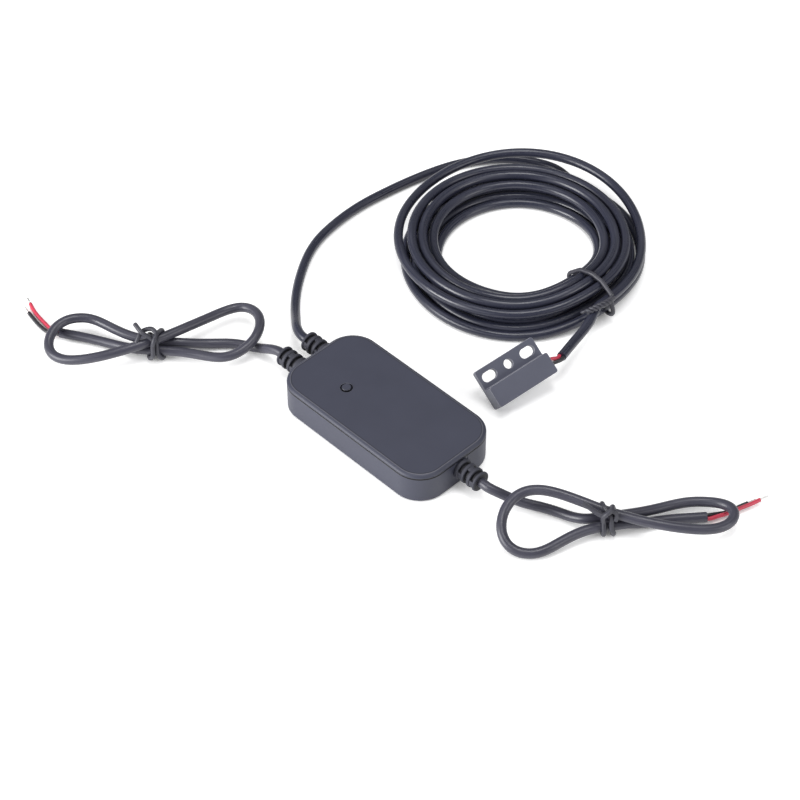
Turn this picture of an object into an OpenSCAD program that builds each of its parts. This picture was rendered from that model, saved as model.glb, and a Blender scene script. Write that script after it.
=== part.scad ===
// Garage door controller: a flat two-shell case with one push button and three moulded cable exits,
// a tied hank of cable on two of them, and a long coiled cable with a reed sensor on the third.
// Origin at the middle of the case's base. X runs along the case towards the supply cable, Z is up.

/* [Case] */
// Length of the case along X
case_l = 65; // [62:0.5:80]
// Width of the case along Y
case_w = 34.5; // [33:0.5:44]
// Height of the closed case
case_h = 11.2; // [11.2:0.1:13]
// Plan radius of the case's corners
corner_r = 9.4; // [6:0.1:12]
// Height of the parting line between case and cover
split_z = 9.75; // [9.75:0.05:11]
// Height of the shadow groove at the parting line
seam = 0.25; // [0.15:0.05:0.4]
// Thickness of the side walls
wall = 1.6; // [1.2:0.1:2]
// Thickness of the case's floor
floor_t = 1.5; // [1.2:0.1:2]
// Width of the rounded band round the cover's flat top
edge_in = 1.15; // [0.8:0.05:2]
// Chamfer round the base
base_edge = 0.5; // [0.3:0.1:1]
// Clearance between pieces that slide or seat in each other
fit = 0.15; // [0.1:0.05:0.25]

/* [Cover] */
// Thickness of the tongue that locates the cover inside the case
tongue_t = 1; // [0.8:0.1:1.4]
// Depth of the tongue
tongue_h = 1.5; // [1.2:0.1:2]
// Radius of the snap beads on the tongue
bead_r = 0.35; // [0.25:0.05:0.45]
// Length of a snap bead
bead_l = 9; // [6:0.5:12]
// Distance of the snap beads from the middle of the case
bead_x = 14; // [10:0.5:18]

/* [Button] */
// Distance of the button from the middle along X
button_x = -13.4; // [-16:0.1:-12]
// Distance of the button from the middle along Y
button_y = -4; // [-6:0.1:-2]
// Diameter of the button's cap
button_d = 3.1; // [2.6:0.1:3.6]
// Gap round the button's cap
button_gap = 0.45; // [0.3:0.05:0.6]
// Height of the cap above the cover
button_proud = 0.4; // [0.2:0.1:0.6]
// Thickness of the flange that keeps the cap in
button_flange_t = 0.6; // [0.5:0.1:0.7]
// Width of that flange beyond the hole
button_flange_w = 0.7; // [0.5:0.1:1]
// Travel of the button
button_travel = 0.3; // [0.2:0.05:0.35]

/* [Board] */
// Height of the board's posts above the floor
post_h = 1; // [0.8:0.1:1.2]
// Radius of the board's posts
post_r = 1.9; // [1.7:0.1:2.2]
// Thickness of the circuit board
board_t = 1.2; // [1:0.1:1.6]
// Gap between the board and the end walls
board_gap = 1.9; // [1.8:0.1:2.5]
// Gap between the board and the long walls
board_side = 1.2; // [1.1:0.1:1.6]
// Distance of the posts from the board's edges
post_in = 3.6; // [3.2:0.1:4.5]
// Diameter of the board screws
screw_d = 1.8; // [1.6:0.1:2]
// Side of the square push switch
switch_w = 6; // [5.6:0.1:6.4]
// Height of the switch's base with its metal plate
switch_h = 3.5; // [3.2:0.1:3.7]
// Thickness of the switch's metal plate
plate_t = 0.3; // [0.2:0.05:0.4]
// Diameter of the switch's plunger
plunger_d = 3.4; // [3:0.1:3.6]

/* [Cable exits] */
// Height of the cables' axes at the case
port_z = 6.2; // [6:0.1:6.4]
// Place of the push button cable along Y
gnd_port_y = -4.8; // [-6:0.1:-4.4]
// Place of the sensor cable along Y
sensor_port_y = 5.4; // [4.8:0.1:6]
// Place of the supply cable along Y
dc_port_y = 0.6; // [-2:0.1:2]
// Diameter of the strain reliefs
boot_d = 6.8; // [6.4:0.1:7]
// Length of a strain relief outside the wall
boot_l = 8.7; // [8:0.1:10]
// Diameter of the neck that sits in the wall
neck_d = 5; // [4.6:0.1:5.4]
// Thickness of the strain relief's inner flange
flange_t = 1.2; // [1:0.1:1.4]
// Width of a flexing slot in the strain relief
slot_w = 1; // [0.8:0.1:1.2]
// Diameter of the strain relief's core under the slots
core_d = 4.4; // [4:0.1:4.8]
// Width of the bridges that join the rings
bridge_w = 1.6; // [1.2:0.1:2]

/* [Cables] */
// Diameter of the cables
cord_d = 3.2; // [3:0.05:3.2]
// Diameter of the insulated wires
wire_d = 1.3; // [1.1:0.1:1.4]
// Clearance of the cable in its strain relief
cord_fit = 0.1; // [0.05:0.05:0.15]
// Length of jacket inside the case, from the wall's outer face
jacket_in = 4.6; // [4:0.1:5]
// Diameter of the tie cords
tie_d = 1.5; // [1.2:0.1:1.6]
// Length of a tinned wire end
tip_l = 3; // [2:0.5:5]
// Diameter of a tinned wire end
tip_d = 0.8; // [0.6:0.1:1]

/* [Coil] */
// Radius of the coil's first turn
coil_r = 42; // [41:0.1:45]
// Turns in the lower layer
coil_turns = 4; // [3:1:4]
// Whole turns in the upper layer, before the last part turn
coil_top_turns = 3; // [2:1:3]
// Step from turn to turn
coil_step = 3.65; // [3.65:0.05:3.8]
// Step from layer to layer
layer_step = 3.8; // [3.7:0.05:4]
// Rise of the middle of the upper layer
coil_heap = 2.4; // [0:0.1:3]
// Distance by which the last turn stands off the bundle on the far side
last_off = 3.6; // [0:0.1:4]

/* [Hanks] */
// Spread of the two lower runs at the waist of a hank
waist_w = 3.8; // [3.7:0.05:4.2]
// Length of the far lobe of the push button cable's hank
gnd_far_l = 36; // [35:0.5:38]
// Half width of that lobe
gnd_far_w = 8.4; // [8:0.1:9]
// Length of its near lobe
gnd_near_l = 31.6; // [31:0.1:32]
// Half width of its near lobe
gnd_near_w = 9.6; // [9:0.1:10]
// Length of the far lobe of the supply cable's hank
dc_far_l = 38.3; // [38:0.1:40]
// Half width of that lobe
dc_far_w = 6.2; // [5.8:0.1:8]
// Length of its near lobe
dc_near_l = 32; // [31:0.5:33]
// Half width of its near lobe
dc_near_w = 8.6; // [8:0.1:9]

/* [Sensor] */
// Length of the sensor
sensor_l = 23; // [22:0.1:26]
// Width of the sensor
sensor_w = 13.8; // [13.4:0.1:16]
// Thickness of the sensor's block
sensor_t = 6; // [5.6:0.1:7]
// Width of the mounting flange
ear_w = 6.6; // [6.2:0.1:7]
// Thickness of the mounting flange
ear_t = 1.8; // [1.6:0.1:2.4]
// Distance between the mounting slots
slot_pitch = 15; // [14:0.1:15.5]
// Width of the slots and diameter of the middle hole
slot_d = 3.2; // [3:0.1:3.6]
// Overall length of a slot
slot_l = 5.4; // [4.4:0.1:5.6]
// Distance of the slots from the flange's edge
slot_in = 3.4; // [3:0.1:3.5]
// Wall round the potted pocket
pocket_wall = 1.2; // [1:0.1:1.5]
// Diameter of the reed switch's glass tube
reed_d = 2.2; // [1.8:0.1:2.4]
// Length of the glass tube
reed_l = 14; // [12:0.5:14]
// Diameter of the reed switch's leads
lead_d = 0.6; // [0.5:0.05:0.7]
// Direction of the sensor's long axis in plan
sensor_turn = 81; // [76:1:86]
// Rise of its cable end
sensor_rise = 8; // [4:1:10]
// Lean of its flange edge
sensor_lean = 38; // [30:1:42]

/* [Hidden] */
$fn = 48;

slate = "#4c4f57";
jacket = "#585a62";
black = "#1d1e20";
red = "#c8202a";
tin = "#c9cbcd";
green = "#1f5c3a";

// Inside of the case, and the levels of what is stacked in it
cavity_l = case_l - 2 * wall;
cavity_w = case_w - 2 * wall;
cavity_r = corner_r - wall;
rim_z = split_z + seam;
board_l = cavity_l - 2 * board_gap;
board_w = cavity_w - 2 * board_side;
board_z = floor_t + post_h;
board_top = board_z + board_t;
hole_r = button_d / 2 + button_gap;
cord_r = cord_d / 2;
wire_r = wire_d / 2;
tie_r = tie_d / 2;
neck_r = neck_d / 2;
boot_end = case_l / 2 + boot_l;

// Posts of the board: two take screws, two have locating pins
post_x = board_l / 2 - post_in;
post_y = board_w / 2 - post_in;
screw_posts = [[-1, 1], [1, -1]];
pin_posts = [[-1, -1], [1, 1]];
pin_r = 0.8;

// Plain shapes

module round_rect(l, w, r) {
    square([l - 2 * r, w], center = true);
    square([l, w - 2 * r], center = true);
    for (x = [-1, 1], y = [-1, 1])
        translate([x * (l / 2 - r), y * (w / 2 - r)]) circle(r);
}

module round_block(l, w, r, h) {
    linear_extrude(h) round_rect(l, w, r);
}

// A plate of rounded plan whose edge follows a list of [inset, height] pairs from bottom to top
module edged_plate(l, w, r, edge) {
    top = edge[len(edge) - 1][1];
    low = edge[0][1];
    side = [for (p = edge) [r - p[0], p[1]]];
    quarter = concat([[0, low]], side, [[0, top]]);
    full = concat([for (p = edge) [w / 2 - p[0], p[1]]],
        [for (i = [len(edge) - 1:-1:0]) [p_out(edge[i], w), edge[i][1]]]);
    for (k = [0:3])
        translate([(k == 0 || k == 3 ? 1 : -1) * (l / 2 - r), (k < 2 ? 1 : -1) * (w / 2 - r), 0])
            rotate([0, 0, 90 * k]) rotate_extrude(angle = 90) polygon(quarter);
    rotate([90, 0, 90]) translate([0, 0, r - l / 2]) linear_extrude(l - 2 * r) polygon(full);
    for (k = [0, 180])
        rotate([0, 0, k]) translate([l / 2 - r, w / 2 - r, 0]) rotate([90, 0, 0])
            linear_extrude(w - 2 * r) polygon(quarter);
}

function p_out(p, w) = p[0] - w / 2;

// Sweeps and curves

function unit(a) = a / norm(a);
function smooth(x) = x <= 0 ? 0 : x >= 1 ? 1 : x * x * (3 - 2 * x);
// A hump of height 1 at the middle that falls to 0 at a half width
function hump(x, mid, half) = abs(x - mid) >= half ? 0 : (1 + cos(180 * (x - mid) / half)) / 2;
function heading(path, i) =
    unit(path[min(i + 1, len(path) - 1)] - path[max(i - 1, 0)]);

// One ring of a tube, square to the path, with its flats set by a reference direction
function ring(path, i, r, sides, ref) =
    let (t = heading(path, i), a = unit(cross(t, ref)), b = cross(a, t))
    [for (k = [0:sides - 1]) path[i] + r * (cos(360 * k / sides) * a + sin(360 * k / sides) * b)];

module tube(path, r, sides = 8, ref = [0, 0, 1]) {
    n = len(path);
    points = [for (i = [0:n - 1]) each ring(path, i, r, sides, ref)];
    walls = [for (i = [0:n - 2], k = [0:sides - 1])
        let (a = i * sides + k, b = i * sides + (k + 1) % sides)
        each [[a, a + sides, b], [b, a + sides, b + sides]]];
    ends = [for (k = [1:sides - 2])
        each [[0, k, k + 1], [(n - 1) * sides, (n - 1) * sides + k + 1, (n - 1) * sides + k]]];
    polyhedron(points, concat(walls, ends), convexity = 10);
}

// Least distance between parts of a path that are more than a given number of points apart
function self_gap(path, apart, d) =
    min([for (i = [0:len(path) - apart - 1]) each
        [for (j = [i + apart:len(path) - 1]) norm(path[i] - path[j])]]) - d;

// Case and cover

module at_ports(side) {
    for (y = side > 0 ? [dc_port_y] : [gnd_port_y, sensor_port_y])
        translate([0, y, port_z]) children();
}

module beads(r) {
    for (x = [-1, 1], y = [-1, 1])
        translate([x * bead_x - bead_l / 2, y * (cavity_w / 2 - fit), rim_z - tongue_h * 0.6])
            rotate([0, 90, 0]) cylinder(h = bead_l, r = r);
}

module bottom_case() {
    shell = [[base_edge, 0], [0, base_edge], [0, split_z]];
    color(slate) difference() {
        union() {
            difference() {
                union() {
                    edged_plate(case_l, case_w, corner_r, shell);
                    translate([0, 0, split_z])
                        round_block(case_l - wall, case_w - wall, corner_r - wall / 2, seam);
                }
                translate([0, 0, floor_t]) round_block(cavity_l, cavity_w, cavity_r, case_h);
            }
            for (p = concat(screw_posts, pin_posts))
                translate([p[0] * post_x, p[1] * post_y, floor_t / 2])
                    cylinder(h = post_h + floor_t / 2, r = post_r);
            for (p = pin_posts)
                translate([p[0] * post_x, p[1] * post_y, floor_t])
                    cylinder(h = post_h + board_t, r = pin_r);
        }
        for (p = screw_posts)
            translate([p[0] * post_x, p[1] * post_y, board_top - screw_l()])
                cylinder(h = case_h, r = screw_d / 2 + fit / 2);
        beads(bead_r + fit);
        for (side = [-1, 1]) at_ports(side) {
            translate([side * (case_l / 2 - wall / 2), 0, 0]) rotate([0, 90, 0])
                cylinder(h = 2 * wall, r = neck_r + fit, center = true);
            translate([side * (case_l / 2 - wall / 2) - wall, -neck_r - fit, 0])
                cube([2 * wall, neck_d + 2 * fit, case_h]);
        }
    }
}

function screw_l() = board_t + post_h + floor_t * 0.5;

// The edge of the cover is an arc that meets the flat top at a slight angle
edge_turn = 62;
edge_land = 0.15;
cover_edge = concat([[0, rim_z]], [for (a = [0:edge_turn / 6:edge_turn])
    [edge_in * (1 - cos(a)) / (1 - cos(edge_turn)),
        rim_z + edge_land + (case_h - rim_z - edge_land) * sin(a) / sin(edge_turn)]]);

module top_cover() {
    tongue_l = cavity_l - 2 * fit;
    tongue_w = cavity_w - 2 * fit;
    tongue_r = cavity_r - fit;
    color(slate) difference() {
        union() {
            edged_plate(case_l, case_w, corner_r, cover_edge);
            difference() {
                translate([0, 0, rim_z - tongue_h]) round_block(tongue_l, tongue_w, tongue_r, tongue_h);
                translate([0, 0, rim_z - 2 * tongue_h])
                    round_block(tongue_l - 2 * tongue_t, tongue_w - 2 * tongue_t, tongue_r - tongue_t,
                        2 * tongue_h);
                for (side = [-1, 1]) at_ports(side)
                    translate([side * case_l / 2, 0, 0])
                        cube([4 * wall + 4 * tongue_t, boot_d + 2 * fit, case_h], center = true);
            }
            beads(bead_r);
            for (side = [-1, 1]) at_ports(side)
                translate([side * (case_l / 2 - wall / 2), 0, (rim_z - port_z) / 2])
                    cube([wall, neck_d, rim_z - port_z], center = true);
        }
        for (side = [-1, 1]) at_ports(side)
            translate([side * (case_l / 2 - wall / 2), 0, 0]) rotate([0, 90, 0])
                cylinder(h = 2 * wall, r = neck_r + fit, center = true);
        translate([button_x, button_y, rim_z - tongue_h]) cylinder(h = case_h, r = hole_r);
    }
}

// Button and push switch

switch_top = board_top + switch_h;
plunger_out = 1.5;
plunger_top = switch_top + plunger_out;
flange_top = rim_z - fit;
foot_t = 0.6;
foot_z = switch_top - plate_t - fit - foot_t;
foot_r = plunger_d / 2 + 0.3;

module at_button() {
    translate([button_x, button_y, 0]) children();
}

module button_cap() {
    crown = case_h + button_proud;
    bevel = 0.2;
    stem_r = plunger_d / 2 - 0.4;
    color(black) at_button() rotate_extrude() polygon([[0, plunger_top], [stem_r, plunger_top],
        [stem_r, flange_top - button_flange_t], [hole_r + button_flange_w, flange_top - button_flange_t],
        [hole_r + button_flange_w, flange_top], [button_d / 2, flange_top], [button_d / 2, crown - bevel],
        [button_d / 2 - bevel, crown], [0, crown]]);
}

module switch_plunger() {
    color(black) at_button() {
        translate([0, 0, foot_z]) cylinder(h = foot_t, r = foot_r);
        translate([0, 0, foot_z + foot_t / 2])
            cylinder(h = plunger_top - foot_z - foot_t / 2, r = plunger_d / 2);
    }
}

// A shallow snap dome that the plunger meets at the end of its travel
dome_r = foot_r + 0.1;
dome_rise = 0.25;
dome_t = 0.12;
dome_slack = 0.05;
dome_z = foot_z - button_travel - dome_slack - dome_t - dome_rise;

module switch_dome() {
    ball = (dome_r * dome_r + dome_rise * dome_rise) / (2 * dome_rise);
    turn = asin(dome_r / ball);
    arc = [for (a = [0:turn / 6:turn]) [sin(a), cos(a)]];
    color(tin) at_button() translate([0, 0, dome_z + dome_rise - ball]) rotate_extrude()
        polygon(concat(ball * arc, [for (i = [len(arc) - 1:-1:0]) (ball + dome_t) * arc[i]]));
}

module switch_base() {
    color("#2a2a2c") at_button() difference() {
        translate([-switch_w / 2, -switch_w / 2, board_top]) cube([switch_w, switch_w, switch_h - plate_t]);
        translate([0, 0, dome_z]) cylinder(h = switch_h, r = dome_r + fit);
    }
}

module switch_plate() {
    color(tin) at_button() difference() {
        translate([-switch_w / 2, -switch_w / 2, switch_top - plate_t]) cube([switch_w, switch_w, plate_t]);
        translate([0, 0, board_top]) cylinder(h = case_h, r = plunger_d / 2 + fit);
    }
}

// Circuit board and what is soldered on it

module circuit_board() {
    color(green) difference() {
        translate([0, 0, board_z]) round_block(board_l, board_w, cavity_r - board_gap, board_t);
        for (p = pin_posts)
            translate([p[0] * post_x, p[1] * post_y, 0]) cylinder(h = case_h, r = pin_r + fit);
        for (p = screw_posts)
            translate([p[0] * post_x, p[1] * post_y, 0]) cylinder(h = case_h, r = screw_d / 2 + fit);
    }
}

module board_screws() {
    head_h = 1.1;
    color(tin) for (p = screw_posts)
        translate([p[0] * post_x, p[1] * post_y, board_top]) {
            difference() {
                cylinder(h = head_h, r1 = screw_d, r2 = screw_d * 0.8);
                for (a = [0, 90]) rotate([0, 0, a]) translate([0, 0, head_h])
                    cube([screw_d * 1.1, 0.4, head_h], center = true);
            }
            translate([0, 0, fit - screw_l()]) cylinder(h = screw_l() - fit, r = screw_d / 2);
        }
}

// The radio module lies along one edge, and the supply's parts stand round the supply cable's pads
part_gap = 0.7;
pad_in = 8.6;
pad_r = 1;
wire_gap = 0.15;
wire_side = wire_r + wire_gap / 2;
pad_x = case_l / 2 - pad_in;
pad_half = wire_side + pad_r;
wifi_l = 24;
wifi_w = 16;
wifi_t = 0.8;
wifi_x = 8;
wifi_y = board_w / 2 - wifi_w / 2 - part_gap;

module wifi_board() {
    edge_pads = 8;
    edge_pitch = 2;
    edge_r = 0.45;
    color("#16324f") difference() {
        translate([wifi_x - wifi_l / 2, wifi_y - wifi_w / 2, board_top]) cube([wifi_l, wifi_w, wifi_t]);
        for (i = [1:edge_pads], y = [-1, 1])
            translate([wifi_x - wifi_l / 2 + edge_pitch * i, wifi_y + y * wifi_w / 2, board_top - wifi_t])
                cylinder(h = 3 * wifi_t, r = edge_r);
    }
}

module wifi_shield() {
    can_l = 15;
    can_w = 12;
    can_h = 2.3;
    can_t = 0.25;
    can_in = 1.2;
    color(tin) translate([wifi_x - wifi_l / 2 + can_in, wifi_y - can_w / 2, board_top + wifi_t]) difference() {
        cube([can_l, can_w, can_h]);
        translate([can_t, can_t, -can_t]) cube([can_l - 2 * can_t, can_w - 2 * can_t, can_h]);
    }
}

module relay() {
    relay_l = 10;
    relay_w = 6.5;
    relay_h = 5.2;
    stand = 0.3;
    pin_w = 0.5;
    pin_pitch = 2.2;
    pin_in = 0.4;
    color("#e8e4d8") translate([5, -board_w / 2 + relay_w / 2 + 3 * part_gap, board_top]) {
        translate([-relay_l / 2, -relay_w / 2, stand]) cube([relay_l, relay_w, relay_h - stand]);
        for (i = [-1.5, -0.5, 0.5, 1.5], y = [-1, 1])
            translate([i * pin_pitch - pin_w / 2, y * (relay_w / 2 - pin_in) - pin_w / 2, 0])
                cube([pin_w, pin_w, 2 * stand]);
    }
}

cap_r = 3.1;
cap_x = 15.5;

module capacitor() {
    can_h = 5;
    base = 0.9;
    lip = 0.1;
    neck = 0.5;
    color(tin) translate([cap_x, -board_w / 2 + cap_r + 3 * part_gap, board_top]) {
        linear_extrude(base) round_rect(2 * cap_r, 2 * cap_r, neck);
        rotate_extrude() polygon([[0, base / 2], [cap_r - lip, base / 2], [cap_r - lip, 2 * base],
            [cap_r - neck, 2 * base + lip], [cap_r - neck, 2 * base + neck], [cap_r - lip, 3 * base],
            [cap_r - lip, can_h - neck], [cap_r - neck, can_h], [0, can_h]]);
    }
}

choke_w = 5;
choke_x = pad_x - 1.5;
choke_y = dc_port_y - pad_half - part_gap - choke_w / 2;

module inductor() {
    choke_h = 3;
    dish_r = 1.6;
    dish = 0.4;
    color("#55565a") translate([choke_x, choke_y, board_top]) difference() {
        linear_extrude(choke_h) round_rect(choke_w, choke_w, 0.9);
        translate([0, 0, choke_h - dish]) cylinder(h = choke_h, r = dish_r);
    }
}

module regulator() {
    body_l = 3;
    body_w = 1.8;
    leg_out = 0.6;
    leg_w = 0.4;
    leg_pitch = 0.95;
    stand = 0.15;
    color("#232427") translate([cap_x + cap_r + part_gap + body_l / 2,
        choke_y - choke_w / 2 - part_gap - leg_out - body_w / 2, board_top]) {
        translate([-body_l / 2, -body_w / 2, stand]) cube([body_l, body_w, 1]);
        for (i = [-1, 0, 1])
            translate([i * leg_pitch - leg_w / 2, -body_w / 2 - leg_out, 0])
                cube([leg_w, body_w + 2 * leg_out, 2 * stand]);
    }
}

module input_diode() {
    body_l = 4.2;
    body_w = 2.6;
    leg_out = 0.4;
    leg_w = 1.4;
    stand = 0.1;
    color("#2b2b2d") translate([wifi_x + wifi_l / 2 + part_gap + leg_out + body_l / 2,
        dc_port_y + pad_half + part_gap + body_w / 2, board_top]) {
        translate([-body_l / 2, -body_w / 2, stand]) cube([body_l, body_w, 2]);
        translate([-body_l / 2 - leg_out, -leg_w / 2, 0]) cube([body_l + 2 * leg_out, leg_w, 0.9]);
    }
}

module chip_parts() {
    chip = [1.4, 0.8, 0.5];
    rows = 4;
    color("#b9a58a") for (i = [0:6])
        translate([-8.6 + (i < rows ? 0 : chip[0] + part_gap),
            -board_w / 2 + 3 + (chip[1] + part_gap) * (i % rows), board_top]) cube(chip);
}

// Strain reliefs: a neck in the wall, a flange inside it and rings with crossed slots outside it

module strain_relief(side, y) {
    bore = cord_r + cord_fit;
    bevel = 0.4;
    collar = 1.9;
    end_ring = 1.8;
    ring_w = (boot_l - 3 * slot_w - collar - end_ring) / 2;
    cuts = [for (i = [0:2]) collar + i * (slot_w + ring_w)];
    boot_r = boot_d / 2;
    color(black) translate([side * case_l / 2, y, port_z]) rotate([0, side * 90, 0]) difference() {
        rotate_extrude() polygon([[bore, -wall - fit - flange_t], [boot_r - fit, -wall - fit - flange_t],
            [boot_r - fit, -wall - fit], [neck_r, -wall - fit], [neck_r, fit], [boot_r, fit],
            [boot_r, boot_l - bevel], [boot_r - bevel, boot_l], [bore, boot_l]]);
        for (i = [0:2]) translate([0, 0, cuts[i]]) difference() {
            cylinder(h = slot_w, r = boot_r + 1);
            translate([0, 0, -1]) cylinder(h = slot_w + 2, r = core_d / 2);
            rotate([0, 0, i == 1 ? 0 : 90]) cube([boot_d + 2, bridge_w, 4 * slot_w], center = true);
        }
    }
}

module gnd_strain_relief() {
    strain_relief(-1, gnd_port_y);
}

module sensor_strain_relief() {
    strain_relief(-1, sensor_port_y);
}

module dc_strain_relief() {
    strain_relief(1, dc_port_y);
}

// Wires from the ends of the jackets down to their pads on the board
function inner_route(side, y) =
    let (x0 = case_l / 2 - jacket_in, x1 = pad_x)
    [for (p = [[x0, port_z], [x0 - 1.2, port_z], [x1 + 1.2, port_z - 0.4], [x1 + 0.3, port_z - 1.2],
        [x1, board_top + 0.8], [x1, board_top]]) [side * p[0], y, p[1]]];

inner_ends = [[-1, gnd_port_y], [-1, sensor_port_y], [1, dc_port_y]];

module inner_wires(offset) {
    for (e = inner_ends) tube(inner_route(e[0], e[1] + offset), wire_r, 8, [0, 1, 0]);
}

module inner_red_wires() {
    color(red) inner_wires(wire_side);
}

module inner_black_wires() {
    color(black) inner_wires(-wire_side);
}

module solder_joints() {
    color(tin) for (e = inner_ends) translate([e[0] * pad_x, e[1], board_top]) difference() {
        linear_extrude(pad_r / 2) round_rect(2 * pad_r, 2 * pad_half, pad_r * 0.9);
        for (y = [-1, 1]) translate([0, y * wire_side, -1]) cylinder(h = 3, r = wire_r + wire_gap / 3);
    }
}

// Hanks: each is one figure of eight, drawn in at a tied waist

gnd_waist = [-75, -28.7, 0];
dc_waist = [77, 18, 0];
// Direction of a hank's far lobe in plan, and the side on which its upper arms lie
gnd_axis = [227, -1];
dc_axis = [49.5, 1];
tie_clear = 0.35;
waist_z = cord_r + tie_d + tie_clear;
cross_rise = cord_d + 0.5;
waist_slope = 2;

// A place given along the hank, across it and up, in the object's own axes
function on_hank(waist, axis, p) =
    let (a = axis[0], m = axis[1])
    waist + [p[0] * cos(a) - m * p[1] * sin(a), p[0] * sin(a) + m * p[1] * cos(a), p[2]];

// Shape of a hank: length, half width, sideways bend and lean of the far lobe, the same of the near
// lobe, and the turn and lift where the far rim passes over the cut end and the near rim over the lead
gnd_bow = [gnd_far_l, gnd_far_w, 3.2, -2.5, gnd_near_l, gnd_near_w, 11, 3.2, 242, cord_d + 1.3, 458,
    cord_d + 2.2];
dc_bow = [dc_far_l, dc_far_w, -2, 1.2, dc_near_l, dc_near_w, 0.5, 1.4, 272, wire_d + 1.9, 418, cord_d + 3];

lift_wide = 75;

// The eight runs from turn 180 to 540, round the far lobe and then round the near one
function lobe(b, t) = t < 360 ? [b[0], b[2], b[3]] : [b[4], b[6], b[7]];
function bow_width(b, t) = waist_slope + (b[1] - waist_slope) * smooth((t - 180) / 45)
    + (b[5] - b[1]) * smooth((t - 315) / 90) + (waist_slope - b[5]) * smooth((t - 495) / 45);
function bow_height(b, t) = cord_r + (waist_z - cord_r) * (hump(t, 180, 60) + hump(t, 540, 60))
    + (waist_z + cross_rise - cord_r) * hump(t, 360, 85) + b[9] * hump(t, b[8], lift_wide)
    + b[11] * hump(t, b[10], lift_wide);
function bow_at(b, t) =
    let (k = lobe(b, t), end = sin(t) * sin(t))
    [k[2] * sin(2 * t) * end - k[0] * sin(t),
        bow_width(b, t) * sin(2 * t) + waist_w / 2 * (360 - t) / 180 + k[1] * end, bow_height(b, t)];
function bow_heading(b, t) = unit(bow_at(b, t + 0.5) - bow_at(b, t - 0.5));
function bow_start(b) = bow_at(b, 180) - cord_d * bow_run(b, 180);
function bow_end(b) = bow_at(b, 540) + cord_d * bow_run(b, 540);
function bow_run(b, t) = let (h = bow_heading(b, t)) unit([h[0], h[1], 0]);
function bow_path(b) = concat([bow_start(b)], [for (t = [180:7.5:540]) bow_at(b, t)], [bow_end(b)]);
function hank_route(waist, axis, b) = [for (p = bow_path(b)) on_hank(waist, axis, p)];

run_in = 2;
function lead_in(waist, axis, b) = [on_hank(waist, axis, bow_start(b) - run_in * bow_run(b, 180)),
    on_hank(waist, axis, bow_start(b))];
function tail_out(waist, axis, b, places) = concat([on_hank(waist, axis, bow_end(b)),
    on_hank(waist, axis, bow_end(b) + run_in * bow_run(b, 540))],
    [for (p = places) on_hank(waist, axis, p)]);

// The stretch of a cable that runs through its strain relief
function through_boot(side, y) = [for (x = [case_l / 2 - jacket_in, case_l / 2, boot_end, boot_end + 3])
    [side * x, y, port_z]];

gnd_lead_places = [[-47.3, -5.1, 5.3], [-51, -5.4, 3.3], [-54.8, -6.3, 1.9], [-60, -9, 1.6], [-64.6, -13.4, 1.7],
    [-68.3, -18.4, 2.5]];
gnd_tail_places = [[12, 1.4, 2.2], [18, 4.2, 1.6], [24, 6.4, 1.6], [29.5, 8.1, 1.6], [33.4, 9.2, 1.6]];
dc_lead_places = [[47.2, 2, 5.2], [50.3, 4.2, 3.5], [54, 6.9, 2], [58.5, 9.6, 1.6], [63.5, 11.7, 1.6],
    [68, 12.9, 2.2]];
dc_tail_places = [[12, -0.2, 2.2], [18, 0.9, 1.6], [24.5, 1.2, 1.6], [30.6, 1.3, 1.6]];
gnd_red_places = [[33.4, 9.2, 1.6], [35.4, 10.6, 1.3], [37.9, 13.3, 0.8], [40.8, 17.3, 0.7], [43.2, 21.2, 0.7],
    [44.6, 24.4, 0.7]];
gnd_black_places = [[33.4, 9.2, 1.6], [36.2, 9.4, 1.3], [39.2, 12, 0.8], [42.2, 16, 0.7], [44.7, 20, 0.7]];
dc_red_places = [[30.6, 1.3, 1.6], [33.4, 1.15, 1.6], [37, 2.3, 1.6], [41, 4, 1.6], [45, 5.75, 1.5],
    [48, 7.35, 1.4]];
dc_black_places = [[30.6, 1.3, 1.6], [33.2, 2.5, 1.3], [36.5, 3.45, 0.75], [40.5, 5.15, 0.7], [44.2, 6.85, 0.7]];

// A wire starts at its own side of the jacket's end face and square to it
function wire_route(waist, axis, places, side, toward) =
    let (run = unit([toward[0], toward[1], 0]), from = places[0] + side * wire_side * [-run[1], run[0], 0],
        all = concat([from, from + wire_d / 2 * run], [for (i = [1:len(places) - 1]) places[i]]))
    [for (p = all) on_hank(waist, axis, p)];

module gnd_cord_lead() {
    color(jacket) tube(concat(through_boot(-1, gnd_port_y), gnd_lead_places,
        lead_in(gnd_waist, gnd_axis, gnd_bow)), cord_r);
}

module gnd_cord_hank() {
    color(jacket) tube(hank_route(gnd_waist, gnd_axis, gnd_bow), cord_r, 6);
}

module gnd_cord_tail() {
    color(jacket) tube(tail_out(gnd_waist, gnd_axis, gnd_bow, gnd_tail_places), cord_r);
}

module gnd_red_wire() {
    color(red) tube(gnd_red_route, wire_r, 8);
}

module gnd_black_wire() {
    color(black) tube(gnd_black_route, wire_r, 8);
}

module dc_cord_lead() {
    color(jacket) tube(concat(through_boot(1, dc_port_y), dc_lead_places,
        lead_in(dc_waist, dc_axis, dc_bow)), cord_r);
}

module dc_cord_hank() {
    color(jacket) tube(hank_route(dc_waist, dc_axis, dc_bow), cord_r, 6);
}

module dc_cord_tail() {
    color(jacket) tube(tail_out(dc_waist, dc_axis, dc_bow, dc_tail_places), cord_r);
}

module dc_red_wire() {
    color(red) tube(dc_red_route, wire_r, 8);
}

module dc_black_wire() {
    color(black) tube(dc_black_route, wire_r, 8);
}

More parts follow.
